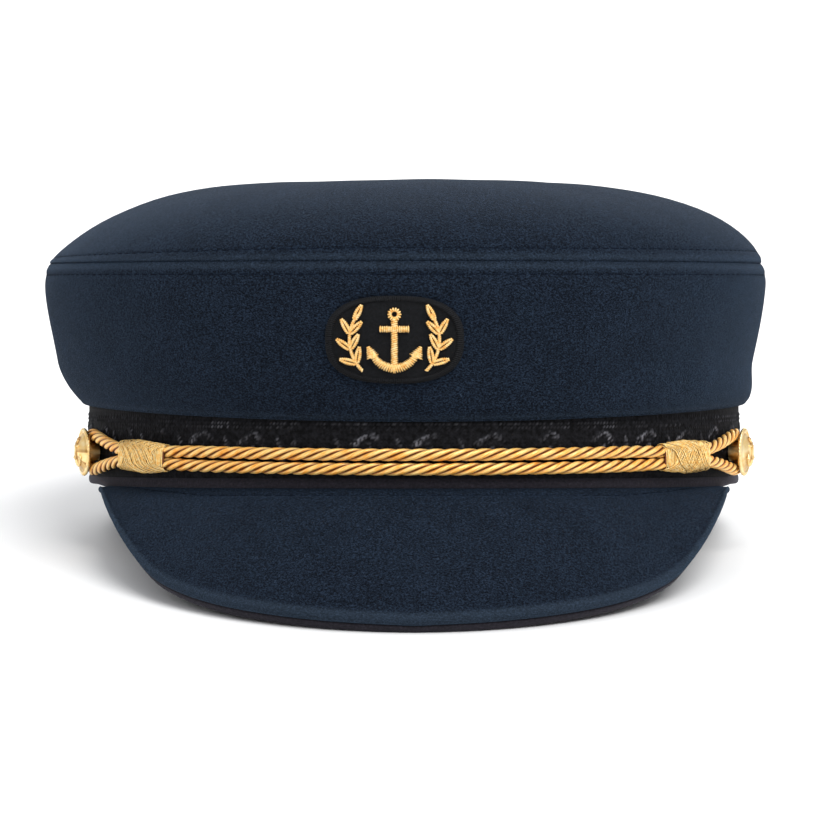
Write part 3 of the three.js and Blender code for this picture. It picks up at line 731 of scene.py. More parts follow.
# Rows of the peak: in mm from the root, shares of the way out, mm from the edge, the roll over the
# edge as (forward, down) in mm, and the under face as shares of the way back.
peak_rows = [("tuck", 0)]
peak_rows += [("root", away) for away in (0, 1.2, 2.3, 2.8, 3.15, 3.5, 3.85, 4.2, ROOT_REACH)]
peak_rows += [("share", mix(END_SHARE, 1 - END_SHARE, step / 14)) for step in range(15)]
peak_rows += [("edge", away) for away in (EDGE_REACH, 4.1, 3.75, 3.4, 3.05, 2.7, 2.3, 1.9, 1.4, 0.9, 0.4)]
peak_rows += [("roll", row) for row in ((0.1, 0.0), (0.42, 0.1), (0.7, 0.35), (0.88, 0.75), (0.93, 1.2))]
peak_rows += [("roll", row) for row in ((0.84, 1.6), (0.6, 1.9), (0.2, 2.05), (0.0, 2.1))]
peak_rows += [("under", share) for share in (1, 0.85, 0.7, 0.5, 0.3, 0.15, 0)]
peak_rows += [("tuck", 0)]


def share_from_end(away, end_reach, width):
    """Millimetres from the peak's root or edge as a share of its width, less where it is narrow."""
    return away / max(width, end_reach / END_SHARE)


def peak_corner(u, v):
    phi = mix(-PEAK_SPREAD, PEAK_SPREAD, u)
    kind, row = row_at(peak_rows, v)
    root, edge, width, out, up = peak_frame(phi)
    if kind == "tuck":
        return around(phi, BAND_WALL - PEAK_SEAM, rim_height(phi) - 0.3)
    if kind == "under":
        return peak_top(phi, row) - up * PEAK_THICKNESS
    if kind == "roll":
        fuzz = 0.05 * noise.noise(Vector((phi * 150, 3 * row[1], 5)))
        return peak_top(phi, 1) + out * (row[0] + fuzz) - up * (row[1] - ROLL_LIFT * (1 - row[1] / 2.1))
    share, rise = row, 0
    if kind == "root":
        share = share_from_end(row, ROOT_REACH, width)
        rise = -0.22 * hump(row, ROOT_STITCH, 0.5) + 0.1 * hump(row, 1.6, 1.0)
    if kind == "edge":
        share = 1 - share_from_end(row, EDGE_REACH, width)
        rise = -0.1 * hump(row, EDGE_STITCH, 0.5) + ROLL_LIFT * smoothstep(2.6 - row, 0, 1.3)
    spot = Vector((phi * 3, share * 1.6, 1.7))
    rise += 0.5 * math.sin(math.pi * share) * noise.noise(spot) * min(1, width / PEAK_FORWARD)
    return peak_top(phi, share) + up * rise


# Painted sheen on the peak: paler where its cloth rolls over the edge.
def peak_fold_sheen(u, v):
    kind, row = row_at(peak_rows, v)
    if kind == "edge":
        return 0.5 * smoothstep(2.0 - row, 0, 1.4)
    return 0.5 if kind == "roll" and row[1] < 1.7 else 0


bm = skin(PEAK_COLUMNS, peak_rows, peak_corner)
mark(bm, "painted_fold_sheen", peak_fold_sheen)
bmesh.ops.holes_fill(bm, edges=bm.edges, sides=0)
peak = laid("peak_melton", bm, melton)
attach(peak, "root")
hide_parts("peak")


# Peak's topstitching: one row along the root, in the same navy thread. Along the edge the cloth is
# only pressed flat beside its roll.
def root_stitch_route(share):
    phi = mix(-0.97 * PEAK_SPREAD, 0.97 * PEAK_SPREAD, share)
    root, edge, width, out, up = peak_frame(phi)
    return peak_top(phi, share_from_end(ROOT_STITCH, ROOT_REACH, width)) - 0.2 * up, up


bm = new_bmesh()
sew(bm, root_stitch_route, 62, False, 0.02)
peak_topstitch = laid("peak_topstitch", bm, thread)
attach(peak_topstitch, "root")


# Peak's binding: a bias strip of charcoal cloth, turned under along the edge and sewn to the cloth
# that rolls over it. Two millimetres of it show from the front, the rest lies under the peak.
BINDING_STOP = math.radians(3)
BINDING_LIP = 2.5
# forward of the edge, down from the top face, and how far back along the under face
BINDING_ROWS = [(0.1, 2.1, 0), (0.5, 2.12, 0), (0.76, 2.25, 0), (0.87, 2.5, 0), (0.9, 2.9, 0)]
BINDING_ROWS += [(0.9, 3.4, 0), (0.87, 3.8, 0), (0.75, 4.15, 0), (0.5, 4.4, 0), (0.1, 4.5, 0.1)]
BINDING_ROWS += [(0, 4.5, 1.0), (0, 4.48, 1.9), (0, 4.35, 2.4), (0, 4.1, 2.5), (0, 3.8, 2.4)]
BINDING_ROWS += [(0.1, 3.7, 0.0), (0.1, 2.1, 0)]


def binding_corner(u, v):
    phi = mix(-PEAK_SPREAD + BINDING_STOP, PEAK_SPREAD - BINDING_STOP, u)
    forward, down, back = row_at(BINDING_ROWS, v)
    root, edge, width, out, up = peak_frame(phi)
    lip = min(BINDING_LIP, 0.5 * width) / BINDING_LIP
    ripple = 0.08 * noise.noise(Vector((phi * 60, down, 0)))
    point = peak_top(phi, 1 - back * lip / width)
    return point + out * (forward + ripple) - up * (down + ripple)


bm = skin(PEAK_COLUMNS, BINDING_ROWS, binding_corner)
bmesh.ops.holes_fill(bm, edges=bm.edges, sides=0)
binding = laid("peak_binding_cloth", bm, charcoal)
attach(binding, "root")
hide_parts("peak_binding")


# Cord: four strands of gilt thread laid up into a rope 3 mm thick and about half a metre long. It is
# one closed loop, led twice across the front of the braid and round the shank of each button.
CORD_RADIUS = 1.5
CORD_HEIGHT = 10.8
CORD_SPREAD = 3.5
CORD_OUT = BRAID_OUT + 0.3 + CORD_RADIUS
LOOP_RADIUS = 4.5
KNOT_FROM = math.radians(43.5)
KNOT_TO = math.radians(55.5)
KNOT_SPREAD = 3.1
KNOT_HALF_DEPTH = CORD_RADIUS + 0.8
KNOT_OUT = BRAID_OUT + 0.3 + KNOT_HALF_DEPTH
BUTTON_ANGLE = math.radians(70)
STRANDS = 4
STRAND_RADIUS = 0.65
STRAND_OFFSET = 0.91
LAY = 16.0

# From the knot to the button: the way still to go and the run's distance from the cord's middle,
# both as shares of the loop's radius
LOOP_ROWS = [(5.2, 0.37), (3.7, 0.54), (2.2, 0.76), (0.8, 0.96)]


def cord_stops():
    """The cord's route as (phi, out, distance from its middle line), once round the loop."""
    runs = []
    for step in range(-16, 17):
        phi = step / 16 * KNOT_TO
        knot = smoothstep(abs(phi), KNOT_FROM - math.radians(7), KNOT_FROM)
        runs.append((phi, mix(CORD_OUT, KNOT_OUT, knot), mix(CORD_SPREAD, KNOT_SPREAD, knot) / 2))
    speed = math.hypot(HEAD_WIDTH / 2 * math.cos(BUTTON_ANGLE), HEAD_LENGTH / 2 * math.sin(BUTTON_ANGLE))
    arc = LOOP_RADIUS / (speed + CORD_OUT)
    near = []
    for before, spread in LOOP_ROWS:
        share = min(1, before / LOOP_ROWS[0][0])
        out = mix(CORD_OUT, KNOT_OUT, share**2)
        near.append((BUTTON_ANGLE - before * arc, out, spread * LOOP_RADIUS))
    far = []
    for turn in (90, 60, 30, 0, -30, -60, -90):
        way = math.cos(math.radians(turn))
        far.append((BUTTON_ANGLE + way * arc, CORD_OUT, LOOP_RADIUS * math.sin(math.radians(turn))))
    back = [(phi, out, -spread) for phi, out, spread in reversed(near)]
    right = near + far + back
    lower = [(phi, out, -spread) for phi, out, spread in reversed(runs)]
    left = [(-phi, out, -spread) for phi, out, spread in right]
    return runs + right + lower + left


stops = cord_stops()
points = [around(phi, out, CORD_HEIGHT + spread) for phi, out, spread in stops]
sides = [outward(phi, out) for phi, out, spread in stops]
count = len(points)


def bend_through(values, index, t):
    """A smooth curve through a closed list of vectors, t of the way from one to the next."""
    a, b, c, d = (values[(index + k) % count] for k in (-1, 0, 1, 2))
    return (2 * b + (c - a) * t + (2 * a - 5 * b + 4 * c - d) * t**2 + (3 * b - a - 3 * c + d) * t**3) / 2


# The route cut into even steps, each with its point, its direction and its outward side
fine = []
for index in range(count):
    for part in range(16):
        fine.append((bend_through(points, index, part / 16), bend_through(sides, index, part / 16)))
lengths = [0.0]
for (here, _), (there, _) in zip(fine, fine[1:] + fine[:1]):
    lengths.append(lengths[-1] + (there - here).length)
cord_length = lengths[-1]
CORD_STEPS = 1000
even = []
marker = 0
for step in range(CORD_STEPS):
    target = cord_length * step / CORD_STEPS
    while lengths[marker + 1] < target:
        marker += 1
    t = (target - lengths[marker]) / (lengths[marker + 1] - lengths[marker])
    here, there = fine[marker % len(fine)], fine[(marker + 1) % len(fine)]
    even.append((here[0].lerp(there[0], t), here[1].lerp(there[1], t)))
rope = []
for step in range(CORD_STEPS):
    point, side = even[step]
    along = (even[(step + 1) % CORD_STEPS][0] - even[step - 1][0]).normalized()
    across = along.cross(side).normalized()
    rope.append((point, along, across.cross(along), across))
TWISTS = round(cord_length / LAY)


def strand_corner(strand):
    def place(u, v):
        step = round(u * CORD_STEPS) % CORD_STEPS
        point, along, out, across = rope[step]
        lay_angle = -math.tau * (TWISTS * u + strand / STRANDS)
        arm = math.cos(lay_angle) * out + math.sin(lay_angle) * across
        cross_arm = math.cos(lay_angle) * across - math.sin(lay_angle) * out
        slope = (along - STRAND_OFFSET * math.tau / LAY * cross_arm).normalized()
        side = slope.cross(arm).normalized()
        turn = (v + 0.5) * math.tau
        round_it = math.cos(turn) * arm * 0.96 + math.sin(turn) * side
        return point + STRAND_OFFSET * arm + STRAND_RADIUS * round_it

    return place


def with_groove_shade(gilt, place, tone, stops):
    """The tone, darkened with painted shade where round threads press together: their crest is at v = 0.5.
    """
    round_thread = add_node(gilt, "SeparateXYZ", {}, {"Vector": place["UV"]})
    groove_shade = add_node(gilt, "ValToRGB", {"stops": stops}, {"Fac": round_thread.outputs["Y"]})
    multiply = {"data_type": "RGBA", "blend_type": "MULTIPLY", 0: 1.0}
    return add_node(gilt, "Mix", multiply, {6: tone, 7: groove_shade}).outputs[2]


# Metallised cord: fine gilt film round cotton, spun into strands whose filaments run almost along
# them, 0.25 mm apart. The crests shine, and shade is painted brown into the grooves between the
# strands. In the UV map u goes once round the loop and v once round a strand.
gilt_cord, place = new_material("gilt_twisted_cord")
strand_size = {"Scale": (cord_length, math.tau * STRAND_RADIUS, 1), "Rotation": (0, 0, math.radians(7))}
in_mm = add_node(gilt_cord, "Mapping", strand_size, {"Vector": place["UV"]})
drawn_out = add_node(gilt_cord, "Mapping", {"Scale": (0.22, 4, 1)}, {"Vector": in_mm})
spun = {"Scale": 1, "Detail": 3, "Roughness": 0.6}
filaments = add_node(gilt_cord, "TexNoise", spun, {"Vector": drawn_out})
wear = add_node(gilt_cord, "TexNoise", {"Scale": 330, "Detail": 2}, {"Vector": place["Object"]})
blend = add_node(gilt_cord, "Math", {"operation": "MULTIPLY_ADD", 1: 0.5}, {0: wear, 2: filaments})
gold = [(0.5, "#e48a26"), (0.66, "#ffb247"), (0.84, "#ffd887")]
tone = add_node(gilt_cord, "ValToRGB", {"stops": gold}, {"Fac": blend})
# Painted shade: each strand's flanks, where it presses against the next, are painted dark brown.
groove_shade_stops = [(0.24, "#6e3410"), (0.4, "#ffffff"), (0.62, "#ffffff"), (0.76, "#6e3410")]
gloss = {"Metallic": 0.25, "Roughness": 0.36, "Specular IOR Level": 0.5}
surface(gilt_cord, with_groove_shade(gilt_cord, place, tone, groove_shade_stops), filaments, (0.5, 0.00012), gloss)

bm = new_bmesh()
for strand in range(STRANDS):
    wrap(bm, CORD_STEPS, 12, strand_corner(strand))
cord = laid("cord_rope", bm, gilt_cord, 180)
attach(cord, "root")
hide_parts("cord_loop")


# Knots: each pair of runs is whipped together beside its button with finer gilt thread, one layer
# wound round and two laid over it, which slant to either side.
CORD_WALL = CORD_RADIUS + 0.2
WOUND_TURNS = 40
# The slanting layers: how far a turn leans along the knot, how many turns, how high they lie in mm
SLANTING = [(-0.5, 14, 0.46), (0.62, 20, 0.62)]


def knot_surface(side, share, turn, depth):
    """A point of the sleeve, whose cut is an upright slot: turn goes round it, depth is its half."""
    phi = side * mix(KNOT_FROM, KNOT_TO, share)
    up = math.sin(turn)
    plump = 0.6 * math.sin(math.pi * (0.1 + 0.8 * share)) - 0.5
    swell = 1.4 * plump + 0.3 * (share - 0.5)
    straight = KNOT_SPREAD / 2 * math.tanh(6 * up)
    high = (depth + swell) * up + straight
    return around(phi, KNOT_OUT + (depth + plump) * math.cos(turn), CORD_HEIGHT + high)


def lash(bm, side, start, slant, depth, radius, jitter):
    """One turn of thread round the sleeve, leaning by slant along it."""

    def place(u, v):
        turn = u * math.tau
        lean_to = start + slant * math.cos(turn + math.pi / 2) * 0.5
        share = min(0.99, max(0.01, lean_to + jitter * math.sin(2 * turn + start * 40)))
        centre = knot_surface(side, share, turn, depth)
        outside = knot_surface(side, share, turn, depth + 1) - centre
        outside.normalize()
        ahead = outward(side * mix(KNOT_FROM, KNOT_TO, share)).cross(Vector((0, 0, 1)))
        angle = (v + 0.5) * math.tau
        return centre + radius * (math.cos(angle) * outside + math.sin(angle) * ahead)

    wrap(bm, 36, 6, place)


def gilt_floss(name, tones):
    """Fine gilt thread in three tones, with shade painted brown at its sides where threads press together.
    """
    gilt, place = new_material(name)
    grain = {"Scale": 1400, "Detail": 3, "Roughness": 0.65}
    glints = add_node(gilt, "TexNoise", grain, {"Vector": place["Object"]})
    tone = add_node(gilt, "ValToRGB", {"stops": list(zip((0.3, 0.46, 0.68), tones))}, {"Fac": glints})
    side_shade_stops = [(0.2, "#6a360e"), (0.32, "#ffffff"), (0.68, "#ffffff"), (0.8, "#6a360e")]
    gloss = {"Metallic": 0.1, "Roughness": 0.42, "Specular IOR Level": 0.5}
    surface(gilt, with_groove_shade(gilt, place, tone, side_shade_stops), glints, (0.5, 0.00012), gloss)
    return gilt


# Gilt whipping thread: the same gilt film as the cord's on a thin core, paler and more broken up.
gilt_thread = gilt_floss("gilt_whipping_thread", ("#f9ae46", "#ffd37a", "#ffeab4"))

for side, node in ((-1, "knot_left"), (1, "knot_right")):
    spin_hand = random.Random(17 + side)
    bm = new_bmesh()

    # The sleeve takes the thread's painted groove shade: v runs round it from its outer face, so its front,
    # between the lashes, is painted dark as shade.
    def sleeve_corner(u, v):
        column = round(50 * u) % 50
        if column < 25:
            return knot_surface(side, column / 24, v * math.tau, CORD_WALL + 0.1)
        return knot_surface(side, (49 - column) / 24, v * math.tau, CORD_WALL - 0.1)

    wrap(bm, 50, 44, sleeve_corner)
    for turn in range(WOUND_TURNS):
        depth = CORD_WALL + 0.22 + spin_hand.uniform(-0.06, 0.06)
        lash(bm, side, mix(0.02, 0.98, turn / (WOUND_TURNS - 1)), 0.06, depth, 0.2, 0.004)
    for slant, turns, lift in SLANTING:
        for turn in range(turns):
            start = mix(0.2, 0.8, turn / (turns - 1)) + spin_hand.uniform(-0.012, 0.012)
            depth = CORD_WALL + lift + spin_hand.uniform(-0.12, 0.1)
            lash(bm, side, start, slant * side, depth, 0.17, 0.012)
    knot = laid(node + "_whipping", bm, gilt_thread, 180)
    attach(knot, "root")
    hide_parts(node)


# Buttons: stamped brass domes, gilt, with a roped rim and an anchor raised on the face. A shank behind
# each goes through the loop of cord into the band.
BUTTON_RADIUS = 6.2
BUTTON_DOME = 2.2
BUTTON_UNDER = 0.3 + 2 * CORD_RADIUS + 0.3
BUTTON_FACE = BUTTON_UNDER + 0.9
SHANK_RADIUS = LOOP_RADIUS - CORD_RADIUS - 0.5
ROPE_STRANDS = 44
BUTTON_ANCHOR = 7.6
# Shares of the button's radius, with heights above its under side in mm, round the roped rim
RIM_ROWS = [(0.7, -0.02), (0.9, 0), (0.97, 0.1), (0.995, 0.3), (1, 0.5), (0.985, 0.75)]
RIM_ROWS += [(0.95, 0.9), (0.9, 0.98), (0.85, 0.9), (0.815, 0.65), (0.79, 0.62), (0.75, 0.8)]
# and with heights as shares of the dome's, up to the middle of the face
DOME_ROWS = [(0.68, 0.56), (0.56, 0.82), (0.4, 1.02), (0.2, 1.13), (0, 1.16)]
# Radius and height of the turned body in mm, from the shank's foot
BUTTON_ROWS = [(0, 0.3), (SHANK_RADIUS - 0.1, 0.3), (SHANK_RADIUS, 0.4), (SHANK_RADIUS, BUTTON_UNDER)]
BUTTON_ROWS += [(share * BUTTON_RADIUS, BUTTON_UNDER + rise) for share, rise in RIM_ROWS]
BUTTON_ROWS += [(share * BUTTON_RADIUS, BUTTON_UNDER + rise * BUTTON_DOME) for share, rise in DOME_ROWS]


def dome_height(radius):
    return read(sorted(BUTTON_ROWS[14:]), radius)


def rod(bm, ends, start, end, start_radius, end_radius):
    """A bar of the raised anchor, half sunk in the dome; bars that meet share one round end."""
    way = end - start
    at = Matrix.Translation((start + end) / 2) @ way.to_track_quat("Z", "Y").to_matrix().to_4x4()
    size = {"segments": 10, "radius1": start_radius, "radius2": end_radius, "depth": way.length}
    bmesh.ops.create_cone(bm, cap_ends=True, matrix=at, **size)
    for place, radius in ((start, start_radius), (end, end_radius)):
        round_end = (round(place.x, 3), round(place.y, 3), round(radius, 3))
        if round_end not in ends:
            ends.add(round_end)
            bmesh.ops.create_icosphere(bm, subdivisions=1, radius=radius, matrix=Matrix.Translation(place))


def raised_anchor(bm, size, lift):
    """An anchor of this height, upright along Y, on the dome; lift sets it proud."""

    def on_dome(x, y):
        return Vector((x, y, dome_height(math.hypot(x, y)) + lift))

    ends = set()
    thick = 0.055 * size
    for step in range(4):
        low, high = -0.44 + 0.19 * step, -0.44 + 0.19 * (step + 1)
        rod(bm, ends, on_dome(0, low * size), on_dome(0, high * size), thick, thick)
    stock = [on_dome(x * size, 0.2 * size) for x in (-0.22, 0.22)]
    rod(bm, ends, *stock, 0.8 * thick, 0.8 * thick)
    ring = [
        on_dome(0.09 * size * math.cos(a), 0.41 * size + 0.09 * size * math.sin(a))
        for a in (math.tau * k / 10 for k in range(11))
    ]
    for here, there in zip(ring, ring[1:]):
        rod(bm, ends, here, there, 0.55 * thick, 0.55 * thick)
    for side in (-1, 1):
        bow = [
            on_dome(side * 0.36 * size * math.sin(a), -0.1 * size - 0.36 * size * math.cos(a))
            for a in (math.radians(d) for d in (0, 20, 40, 58, 74))
        ]
        for here, there in zip(bow, bow[1:]):
            rod(bm, ends, here, there, 0.95 * thick, 0.8 * thick)
        tip = bow[-1]
        point = on_dome(tip.x + side * 0.02 * size, tip.y + 0.13 * size)
        barb = on_dome(tip.x - side * 0.12 * size, tip.y - 0.01 * size)
        rod(bm, ends, tip, point, 1.5 * thick, 0.2 * thick)
        rod(bm, ends, tip, barb, 1.1 * thick, 0.3 * thick)


# Gilt brass: polished on the high places and painted darker in the hollows as painted shade, with fine
# dents from wear.
brass, place = new_material("gilt_stamped_brass")
patina = add_node(brass, "TexNoise", {"Scale": 420, "Detail": 4}, {"Vector": place["Object"]})
tone = add_node(brass, "ValToRGB", {"stops": [(0.3, "#f3c46c"), (0.7, "#ffecba")]}, {"Fac": patina})
painted_hollow_shade = add_node(brass, "Attribute", {"attribute_name": "painted_hollow_shade"})
hollow_shade_tone = {"data_type": "RGBA", 7: linear("#a06c30")}
hollow_shaded = add_node(brass, "Mix", hollow_shade_tone, {0: painted_hollow_shade.outputs["Fac"], 6: tone})
dull = add_node(brass, "Math", {"operation": "MULTIPLY_ADD", 1: 0.28, 2: 0.2}, {0: patina})
surface(brass, hollow_shaded.outputs[2], patina, (0.15, 0.0002), {"Metallic": 1.0}, {"Roughness": dull})

for side, node in ((-1, "button_left"), (1, "button_right")):
    bm = new_bmesh()
    profile = [bm.verts.new((radius, 0, height)) for radius, height in BUTTON_ROWS]
    edges = [bm.edges.new(pair) for pair in zip(profile, profile[1:])]
    full_turn = {"axis": (0, 0, 1), "angle": math.tau, "steps": 4 * ROPE_STRANDS, "use_merge": True}
    bmesh.ops.spin(bm, geom=profile + edges, **full_turn)
    bmesh.ops.remove_doubles(bm, verts=bm.verts, dist=1e-4)
    for vertex in bm.verts:
        radius = math.hypot(vertex.co.x, vertex.co.y)
        on_rim = smoothstep(radius, 0.8 * BUTTON_RADIUS, 0.87 * BUTTON_RADIUS)
        if on_rim and vertex.co.z > BUTTON_UNDER + 0.2:
            slant = 2.2 * (radius - BUTTON_RADIUS) - 1.2 * (vertex.co.z - BUTTON_FACE)
            ridge = 0.5 + 0.5 * math.cos(ROPE_STRANDS * math.atan2(vertex.co.y, vertex.co.x) + 2 * slant)
            vertex.co -= Vector((vertex.co.x, vertex.co.y, 2.5)) * 0.024 * on_rim * (1 - ridge)
    body = list(bm.verts)
    raised_anchor(bm, BUTTON_ANCHOR, 0.05)
    stood = kdtree.KDTree(len(bm.verts) - len(body))
    for index, vertex in enumerate(list(bm.verts)[len(body) :]):
        stood.insert(vertex.co, index)
    stood.balance()
    # Painted shade: the dome is marked darker beside the anchor's foot and in the groove inside the roped
    # rim.
    hollow_shade_layer = bm.verts.layers.float.new("painted_hollow_shade")
    for vertex in list(bm.verts)[: len(body)]:
        radius = math.hypot(vertex.co.x, vertex.co.y)
        if vertex.co.z > BUTTON_UNDER + 0.8:
            gap = stood.find(vertex.co)[2]
            by_anchor = smoothstep(1.3 - gap, 0, 0.9)
            in_ring = hump(radius, 0.8 * BUTTON_RADIUS, 0.05 * BUTTON_RADIUS)
            vertex[hollow_shade_layer] = min(1, 0.7 * by_anchor + 0.8 * in_ring)
    phi = side * BUTTON_ANGLE
    out = outward(phi, BRAID_OUT)
    up = Vector((0, 0, 1))
    turn = Matrix((up.cross(out), up, out)).transposed().to_4x4()
    bm.transform(Matrix.Translation(around(phi, BRAID_OUT, CORD_HEIGHT)) @ turn)
    button = laid(node + "_brass", bm, brass, 40)
    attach(button, "root")
    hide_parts(node)


# Badge patch: a piece of thick black felt sewn on the front of the crown, its edge worked over with
# close black stitches.
BADGE_HEIGHT = 40.5
BADGE_SIDE = -2.6
PATCH_WIDTH = 33
PATCH_HEIGHT = 21
PATCH_THICKNESS = 1.2
PATCH_SQUARENESS = 2.6


def on_crown_front(x, height, out):
    """A point in front of the crown's face: x beside its middle, height above the rim."""
    phi = 0
    for _ in range(4):
        up = (height - lip_height(phi)) / (seam_height(phi) - 0.3 - lip_height(phi))
        face = crown_face(phi, up, 0)
        leant = -CROWN_LEAN * smoothstep(up, 0, 0.3)
        phi += (x - (face.x - leant)) / (HEAD_WIDTH / 2 + LIP_OUT + FLARE_FRONT)
    return face + outward(phi, LIP_OUT + FLARE_FRONT) * out


def patch_edge(turn):
    """Half sizes of the patch's rounded oblong in the direction of turn."""
    power = 2 / PATCH_SQUARENESS
    cos, sin = math.cos(turn), math.sin(turn)
    x = math.copysign(abs(cos) ** power, cos) * PATCH_WIDTH / 2
    y = math.copysign(abs(sin) ** power, sin) * PATCH_HEIGHT / 2
    return Vector((x, y))


# Rings of the patch from the middle of its back: share of the way out, height in mm
PATCH_ROWS = [(0.0, 0.0), (0.5, 0.0), (0.94, 0.0), (0.985, 0.15), (1.0, 0.5), (0.985, 0.85)]
PATCH_ROWS += [(0.95, 1.08), (0.9, 1.16), (0.86, 1.06), (0.8, 1.1), (0.65, 1.15), (0.45, 1.2)]
PATCH_ROWS += [(0.25, 1.2), (0.0, 1.2)]


def patch_corner(u, v):
    share, height = row_at(PATCH_ROWS, v)
    spot = patch_edge(u * math.tau) * share
    dent = 0.1 * noise.noise(Vector((spot.x / 4, spot.y / 4, 0))) if height > 1 else 0
    lift = 0.3 + (height + dent) * PATCH_THICKNESS / 1.2
    return on_crown_front(BADGE_SIDE + spot.x, BADGE_HEIGHT + spot.y, lift)


# Black wool felt: pressed fibres with no weave, deep black, with grey tips along its worn edges.
felt = fibrous(
    "black_wool_felt",
    {"Scale": 1500, "Detail": 5, "Roughness": 0.7},
    [(0.4, "#08090b"), (0.75, "#16171a")],
    (0.6, 0.0002),
    {"Roughness": 0.95, "Specular IOR Level": 0.2, "Sheen Weight": 0.2, "Sheen Roughness": 0.4},
)

bm = skin(160, PATCH_ROWS, patch_corner)
patch = laid("badge_patch_felt", bm, felt)
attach(patch, "root")
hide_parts("badge_patch")


# Edge stitches of the patch: black cotton laid close across its edge, one beside the next.
def floss(bm, route, radius, columns=6):
    """A short length of thread along route(u), which gives its middle and its outward side."""

    def place(u, v):
        point, side = route(u)
        ahead, _ = route(min(1, u + 0.02))
        behind, _ = route(max(0, u - 0.02))
        along = (ahead - behind).normalized()
        across = along.cross(side).normalized()
        angle = (v + 0.5) * math.tau
        thin = radius * (1 - 0.5 * abs(2 * u - 1) ** 6)
        return point + thin * (math.cos(angle) * across.cross(along) + math.sin(angle) * across)

    wrap(bm, columns, 6, place)


def edge_floss(turn):
    def route(u):
        share = mix(0.89, 1.0, math.sin(math.pi * u / 2))
        lift = 0.42 + 1.16 * math.cos(math.pi * u / 2) ** 0.6 if u < 1 else 0.42
        spot = patch_edge(turn) * share
        point = on_crown_front(BADGE_SIDE + spot.x, BADGE_HEIGHT + spot.y, lift)
        centre = on_crown_front(BADGE_SIDE + 0.8 * spot.x, BADGE_HEIGHT + 0.8 * spot.y, 0)
        return point, (point - centre).normalized()

    return route


# Black cotton floss: soft, matt, a little shinier than the felt under it.
black_floss = fibrous(
    "black_cotton_floss",
    {"Scale": 2200, "Detail": 2},
    [(0.35, "#060709"), (0.7, "#121317")],
    (0.4, 0.0001),
    {"Roughness": 0.75, "Specular IOR Level": 0.25},
)

# The stitches stand evenly along the edge, so their turns are found by walking round it.
EDGE_STITCHES = 170
walk = [math.tau * step / 2000 for step in range(2001)]
walked = [0.0]
for here, there in zip(walk, walk[1:]):
    walked.append(walked[-1] + (patch_edge(there) - patch_edge(here)).length)
bm = new_bmesh()
for stitch in range(EDGE_STITCHES):
    reached = next(i for i, way in enumerate(walked) if way >= walked[-1] * stitch / EDGE_STITCHES)
    floss(bm, edge_floss(walk[reached]), 0.27, 5)
patch_edging = laid("badge_patch_edging", bm, black_floss, 180)
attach(patch_edging, "root")


# Badge motif: an anchor between two sprigs of laurel, worked by hand in gilt bullion. Each stroke is
# filled with threads laid side by side across it over a padding, so they arch and catch the light.
MOTIF_BASE = 0.3 + PATCH_THICKNESS + 0.3
BULLION_PITCH = 0.52
BULLION_SUNK = 0.2
BULLION_RADIUS = 0.26
ANCHOR_HEIGHT = 15.6
SPRIG_RADIUS = 10.6
STEM_FROM = math.radians(-44)
STEM_TO = math.radians(34)
STEM_HALF = 0.42
LEAF_LENGTH = 4.4
LEAF_WIDTH = 1.9
# where along the stem, and the angle away from it
LEAF_ROWS = [(0.14, 42), (0.14, -42), (0.4, 40), (0.4, -40), (0.66, 36), (0.66, -36), (0.9, 0)]


def bullion(bm, start, end, height):
    """One thread laid across a stroke from start to end, arched to height over its padding."""

    def route(u):
        spot = start.lerp(end, u)
        arch = math.sqrt(max(0, 1 - (2 * u - 1) ** 2))
        lift = MOTIF_BASE - BULLION_SUNK + height * arch
        point = on_crown_front(BADGE_SIDE + spot.x, BADGE_HEIGHT + spot.y, lift)
        return point, Vector((0, -1, 0))

    floss(bm, route, BULLION_RADIUS, 6)


def stroke(bm, path, half_width, slant, height, hand):
    """Fills a stroke: path(t) is its middle line in mm, half_width(t) its half, slant in degrees."""
    length = sum((path((k + 1) / 20) - path(k / 20)).length for k in range(20))
    threads = max(2, round(length / BULLION_PITCH))
    for index in range(threads + 1):
        t = index / threads
        along = (path(min(1, t + 0.01)) - path(max(0, t - 0.01))).normalized()
        across = Matrix.Rotation(math.radians(90 + slant), 2) @ along
        half = half_width(t) * hand.uniform(0.93, 1.06)
        if half > 0.12:
            bullion(bm, path(t) - across * half, path(t) + across * half, height)


def straight(start, end):
    return lambda t: Vector(start).lerp(Vector(end), t)


def bow(centre, radius, from_angle, to_angle):
    def path(t):
        angle = math.radians(mix(from_angle, to_angle, t))
        return Vector((centre[0] + radius * math.cos(angle), centre[1] + radius * math.sin(angle)))

    return path


def leaf_half(t):
    """Half the width of one half of a leaf, on its way from the foot to the tip."""
    return 0.19 * LEAF_WIDTH * math.sin(math.pi * min(1, t * 0.94 + 0.05)) ** 0.7


# Gilt bullion: a coiled gilt wire drawn over soft thread, deeper in tone than the whipping.
gilt_bullion = gilt_floss("gilt_bullion", ("#e39c42", "#f8c674", "#ffe2a8"))

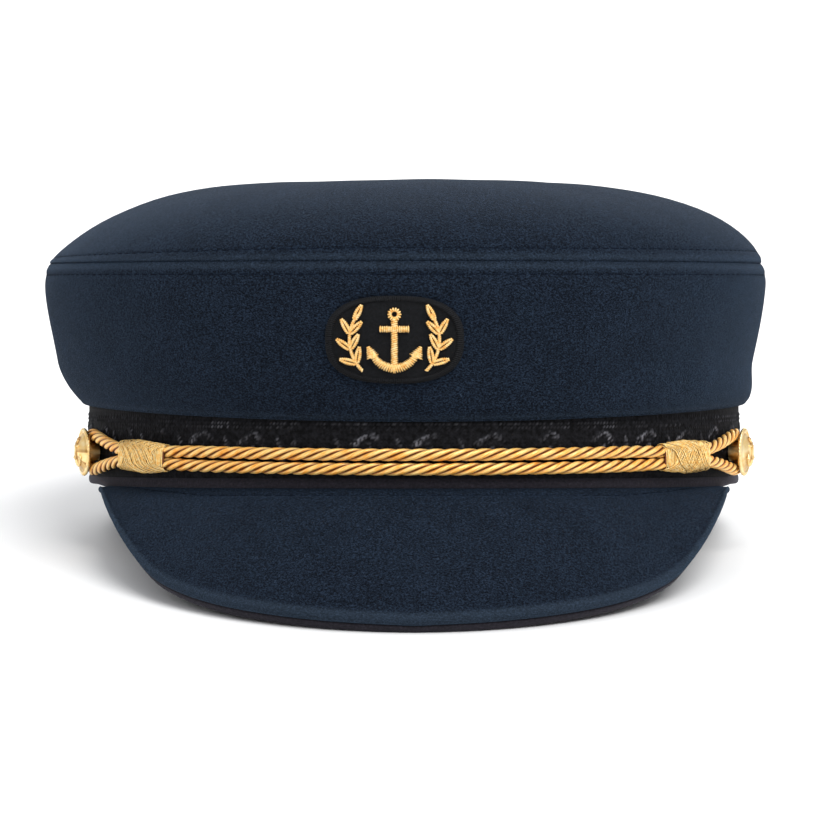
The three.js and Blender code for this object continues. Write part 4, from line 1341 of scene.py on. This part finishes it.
H = ANCHOR_HEIGHT
hand = random.Random(5)
bm = new_bmesh()
stroke(bm, straight((0, -0.47 * H), (0, 0.31 * H)), lambda t: 0.052 * H, 18, 0.75, hand)
stroke(bm, straight((-0.21 * H, 0.165 * H), (0.21 * H, 0.165 * H)), lambda t: 0.048 * H, 0, 0.85, hand)
stroke(bm, bow((0, 0.395 * H), 0.073 * H, -80, 260), lambda t: 0.03 * H, 0, 0.5, hand)
for side in (-1, 1):
    arm = bow((0, -0.08 * H), 0.36 * H, -90, -90 + side * 68)
    fluke = straight((side * 0.33 * H, -0.26 * H), (side * 0.405 * H, -0.09 * H))
    stroke(bm, arm, lambda t: mix(0.075, 0.05, t) * H, 10 * side, 0.8, hand)
    stroke(bm, fluke, lambda t: 0.1 * (1 - t) ** 0.8 * H, 0, 0.75, hand)
badge_anchor = laid("badge_anchor_bullion", bm, gilt_bullion, 180)
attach(badge_anchor, "root")
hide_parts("badge_anchor")

for side, node in ((-1, "badge_sprig_left"), (1, "badge_sprig_right")):
    bm = new_bmesh()

    def stem(t):
        angle = mix(STEM_FROM, STEM_TO, t)
        return Vector((side * SPRIG_RADIUS * math.cos(angle), SPRIG_RADIUS * math.sin(angle)))

    stroke(bm, stem, lambda t: STEM_HALF, 35, 0.45, hand)
    for along, turn in LEAF_ROWS:
        foot = stem(along)
        angle = mix(STEM_FROM, STEM_TO, along) + math.pi / 2 + math.radians(turn)
        way = Vector((side * math.cos(angle), math.sin(angle)))
        width = Matrix.Rotation(math.pi / 2, 2) @ way
        tip = foot + way * LEAF_LENGTH
        for half in (-1, 1):
            start = foot + width * half * 0.26
            middle = (foot + tip) / 2 + width * half * 0.4 * LEAF_WIDTH

            def blade(t, start=start, middle=middle, tip=tip):
                return (1 - t) ** 2 * start + 2 * t * (1 - t) * middle + t * t * tip

            stroke(bm, blade, leaf_half, -38 * half, 0.6, hand)
    sprig = laid(node + "_bullion", bm, gilt_bullion, 180)
    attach(sprig, "root")
    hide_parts(node)
